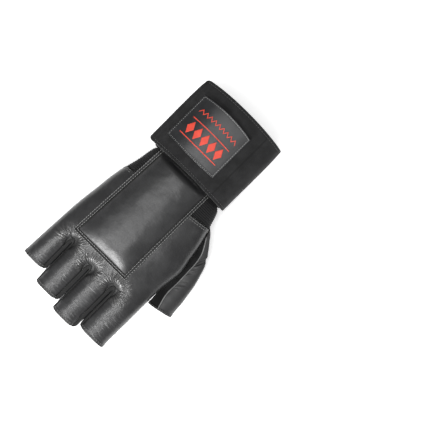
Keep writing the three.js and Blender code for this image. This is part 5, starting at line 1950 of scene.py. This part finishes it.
@dataclass
class StrapPatch:
    """Coated patch sewn on the strap, with a plain geometric print."""

    thumb_x: float = -6.2 * MM
    little_x: float = 49.6 * MM
    front: float = -59.4 * MM
    front_bow: float = 0.8 * MM
    end: float = -105.9 * MM
    end_bow: float = 2.8 * MM
    thick: float = 0.9 * MM
    clear: float = 0.45 * MM
    border: float = 1.1 * MM
    print_height: float = 0.16 * MM
    lozenges: int = 5
    lozenge: Pair = (3.6 * MM, 6.2 * MM)
    lozenge_pitch: float = 2.35
    swells: tuple[Pair, ...] = ((20, 0.2), (7, 0.05))
    band_y: float = -77 * MM
    zigzag_y: float = -93.5 * MM
    zigzag: Pair = (2.4 * MM, 1.7 * MM)
    zigzag_teeth: int = 9

    @property
    def face(self) -> float:
        """Distance of the patch's outer face from the cuff's."""
        return WRIST.strap_face + self.clear + self.thick

    def bowed(self, x: Array, y: Array) -> Array:
        """Place along the wrist, moved as the patch's bowed ends move what lies between them."""
        across = (x - self.thumb_x) / (self.little_x - self.thumb_x)
        share = (self.front - y) / (self.front - self.end)
        return y + (1 - (2 * across - 1) ** 2) * lerp(self.front_bow, -self.end_bow, share)

    def sheet(self) -> Blank:
        """Closed body of the patch."""
        across = steps(self.little_x - self.thumb_x, 0.7 * MM, 0.3 * MM, 3 * MM)
        along = steps(self.front - self.end, 0.7 * MM, 0.3 * MM, 3 * MM)
        x, y = np.meshgrid(lerp(self.thumb_x, self.little_x, across), lerp(self.end, self.front, along))
        blank = Blank.grid(WRIST.over(x, self.bowed(x, y), self.face)).facing(np.array([0, 0, 1]))
        sides = [x - self.thumb_x, self.little_x - x, y - self.end, self.front - y]
        to_edge = np.minimum.reduce(sides).ravel()
        line = bell(to_edge - self.border, 0.35 * MM)
        raised = 0.18 * MM * fade(to_edge, 0.9 * MM, 1.5 * MM)
        blank.marks["seam"] = 0.5 * bell(to_edge - 1.9 * MM, 0.5 * MM)
        height = raised + undulation(blank.points, dict(self.swells), 221) - 0.08 * MM * line
        return blank.thickened(self.thick, height)

    def plate(self, corners: Sequence[Pair]) -> Blank:
        """Raised print within four corners seen from above."""
        a, b, c, d = (np.array(corner) for corner in corners)
        across, along = np.meshgrid(np.linspace(0, 1, 14), np.linspace(0, 1, 14))
        across, along = across[..., None], along[..., None]
        place = lerp(lerp(a, b, across), lerp(d, c, across), along)
        x, y = place[..., 0], place[..., 1]
        points = WRIST.over(x, self.bowed(x, y), self.face + self.print_height)
        blank = Blank.grid(points).facing(np.array([0, 0, 1]))
        return blank.thickened(self.print_height * 1.6, undulation(blank.points, dict(self.swells), 221))

    def print(self) -> Blank:
        """Row of lozenges between two lines, over a zigzag."""
        middle = (self.thumb_x + self.little_x) / 2
        half_x, half_y = self.lozenge
        plates = []
        for number in range(self.lozenges):
            x = middle + (number - (self.lozenges - 1) / 2) * half_x * self.lozenge_pitch
            y = self.band_y
            plates.append(self.plate([(x - half_x, y), (x, y - half_y), (x + half_x, y), (x, y + half_y)]))
        reach = half_x * self.lozenge_pitch * self.lozenges / 2 + 0.6 * MM
        for y in (self.band_y - half_y - 2 * MM, self.band_y + half_y + 2 * MM):
            low, high = y - 0.45 * MM, y + 0.45 * MM
            for part in range(3):
                start, end = (lerp(middle - reach, middle + reach, share / 3) for share in (part, part + 1))
                plates.append(self.plate([(start, low), (end, low), (end, high), (start, high)]))
        tooth, rise = self.zigzag
        half = 0.65 * MM
        for number in range(2 * self.zigzag_teeth):
            start = middle + (number - self.zigzag_teeth) * tooth
            end, lift = start + tooth, rise if number % 2 else -rise
            low, high = self.zigzag_y - lift, self.zigzag_y + lift
            corners = [(start, low - half), (end, high - half), (end, high + half), (start, low + half)]
            plates.append(self.plate(corners))
        return Blank.joined(plates)

    def build(self, shop: Workshop) -> None:
        """Makes the patch, its print and the stitches round it."""
        shop.add("strap_patch", self.sheet(), Finish.PATCH, Slot.PATCH, ["strap_patch"])
        shop.add("patch_print", self.print(), Finish.PRINT, Slot.PATCH)
        left, right = self.thumb_x + self.border, self.little_x - self.border
        low, high = self.end + self.border, self.front - self.border
        corners = [(left, low), (right, low), (right, high), (left, high)]
        share = np.linspace(0, 1, 60)
        runs = []
        for start, end in zip(corners, corners[1:] + corners[:1]):
            x, y = (lerp(start[axis], end[axis], share) for axis in range(2))
            path = Path.on_wrist(WRIST.over, x, self.bowed(x, y), self.face)
            runs.append(Stitch(pitch=2.1 * MM, radius=0.22 * MM).along(path.raised(0.14 * MM)))
        shop.add("patch_stitching", Blank.joined(runs), Finish.THREAD, Slot.PATCH)


@dataclass
class PullLoop:
    """Braided cord sewn under the binding, folded forward below the cuff."""

    diameter: float = 2.6 * MM
    braid: float = 0.07 * MM
    braid_pitch: float = 3.2 * MM
    strands: int = 4
    span_steps: int = 18

    def route(self) -> Array:
        """Points of one smooth curve through the route's table."""
        table = np.stack([LOOP_ROUTE.column(name) for name in "xyz"], axis=-1)
        number = np.arange(len(table), dtype=float)
        place = np.linspace(0, len(table) - 1, (len(table) - 1) * self.span_steps + 1)
        return xyz(*(Track(number, column)(place) for column in table.T))

    def build(self, shop: Workshop) -> None:
        points = self.route()
        path = Path.level(points)

        def weave(angle: Array, distance: Array) -> Array:
            """Height of the braid's strands, which run both ways round the cord."""
            turn = 2 * np.pi * distance / self.braid_pitch
            left = np.sin(self.strands * angle + turn)
            right = np.sin(self.strands * angle - turn)
            return self.braid * np.maximum(left, right)

        rod = tube(path, self.diameter / 2 - self.braid, 20, weave)
        cord = shop.add("pull_loop", rod, Finish.CORD, Slot.CORD, ["pull_loop"])
        float(path.lengths()[-1])


@dataclass
class Studio:
    """Pale floor, soft lights and the camera, which looks straight down with the fingers low at the left."""

    turn: float = math.radians(225)
    over: Pair = (-30.4 * MM, -38.3 * MM)
    height: float = 1.6
    focus_height: float = 24 * MM
    frame_width: float = 430 * 0.88 * MM
    sensor: float = 36.0
    floor_size: float = 6.0
    floor_level: float = -0.3 * MM
    sky: float = 0.31
    lamps: tuple[tuple[str, Triple, Pair, float], ...] = (
        ("front", (-0.08, 1.2, 0.56), (0.58, 0.45), 28.0),
        ("top", (0.045, 0.33, 1.2), (0.18, 0.68), 5.6),
        ("knuckles", (0.2, 0.62, 1.1), (0.2, 0.3), 1.7),
        ("wrist", (0.15, -0.12, 1.2), (0.14, 0.3), 1.6),
        ("fill", (-0.75, -0.6, 0.9), (0.5, 0.5), 1.5),
    )

    def camera(self) -> None:
        """Makes the camera."""
        data = bpy.data.cameras.new("camera")
        data.sensor_width = self.sensor
        data.lens = self.sensor * (self.height - self.focus_height) / self.frame_width
        eye = bpy.data.objects.new("camera", data)
        eye.location = (*self.over, self.height)
        eye.rotation_euler = (0, 0, self.turn)
        bpy.context.scene.collection.objects.link(eye)
        bpy.context.scene.camera = eye

    def floor(self) -> None:
        """Makes the floor."""
        half = self.floor_size / 2
        mesh = bpy.data.meshes.new("floor")
        corners = [(-half, -half), (half, -half), (half, half), (-half, half)]
        mesh.from_pydata([(x, y, self.floor_level) for x, y in corners], [], [(0, 1, 2, 3)])
        mesh.materials.append(Paper().make())
        floor = bpy.data.objects.new("floor", mesh)
        bpy.context.scene.collection.objects.link(floor)

    def light(self, name: str, place: Triple, size: Pair, power: float) -> None:
        """Makes one soft lamp that looks at the glove."""
        data = bpy.data.lights.new(name, "AREA")
        data.shape = "RECTANGLE"
        data.size, data.size_y = size
        data.energy = power
        lamp = bpy.data.objects.new(name, data)
        lamp.location = place
        lamp.rotation_euler = (-Vector(place)).to_track_quat("-Z", "Y").to_euler()
        bpy.context.scene.collection.objects.link(lamp)

    def build(self) -> None:
        """Makes the camera, the floor and the lights."""
        self.camera()
        self.floor()
        world = bpy.data.worlds.new("studio")
        world.use_nodes = True
        world.node_tree.nodes["Background"].inputs["Color"].default_value = (1, 1, 1, 1)
        world.node_tree.nodes["Background"].inputs["Strength"].default_value = self.sky
        bpy.context.scene.world = world
        for lamp in self.lamps:
            self.light(*lamp)
        bpy.context.scene.view_settings.view_transform = "Standard"


BACK_CREASES = (
    Creases(-23, 67, 5, 9, 55, 11, 7, 0.07, fan=50),
    Creases(3, 68, 9, 8, 2, 13, 8, 0.1),
    Creases(28, 71, 9, 12, 24, 14, 9, 0.1),
    Creases(51, 61, 7, 8, -28, 9, 6, 0.07, fan=40),
    Creases(-6, 60, 6, 4, 75, 8, 6, 0.1, fan=60),
    Creases(16, 61, 14, 4, 80, 12, 5, 0.1, fan=40),
)
PALM_CREASES = (
    Creases(-22, 60, 10, 8, 20, 9, 10, 0.2, fan=40),
    Creases(4, 62, 10, 8, 0, 12, 12, 0.25),
    Creases(28, 62, 10, 8, -12, 12, 11, 0.25),
    Creases(50, 58, 8, 6, 25, 8, 8, 0.2),
)


def main() -> None:
    """Builds the studio and the glove."""
    logging.basicConfig(level=logging.INFO, format="%(message)s")
    Studio().build()
    shop = Workshop()
    PullLoop().build(shop)
    LeatherHand(Side.BACK, "back_panel", BACK_CREASES, 11).build(shop)
    LeatherHand(Side.PALM, "palm_panel", PALM_CREASES, 21, body_length=26 * MM).build(shop)
    FingerGussets().build(shop)
    ThumbStall().build(shop)
    StretchFabric().build(shop)
    BackCushion().build(shop)
    PalmCushion().build(shop)
    WristCuff().build(shop)
    WristStrap().build(shop)
    StrapPatch().build(shop)


if __name__ == "__main__":
    main()
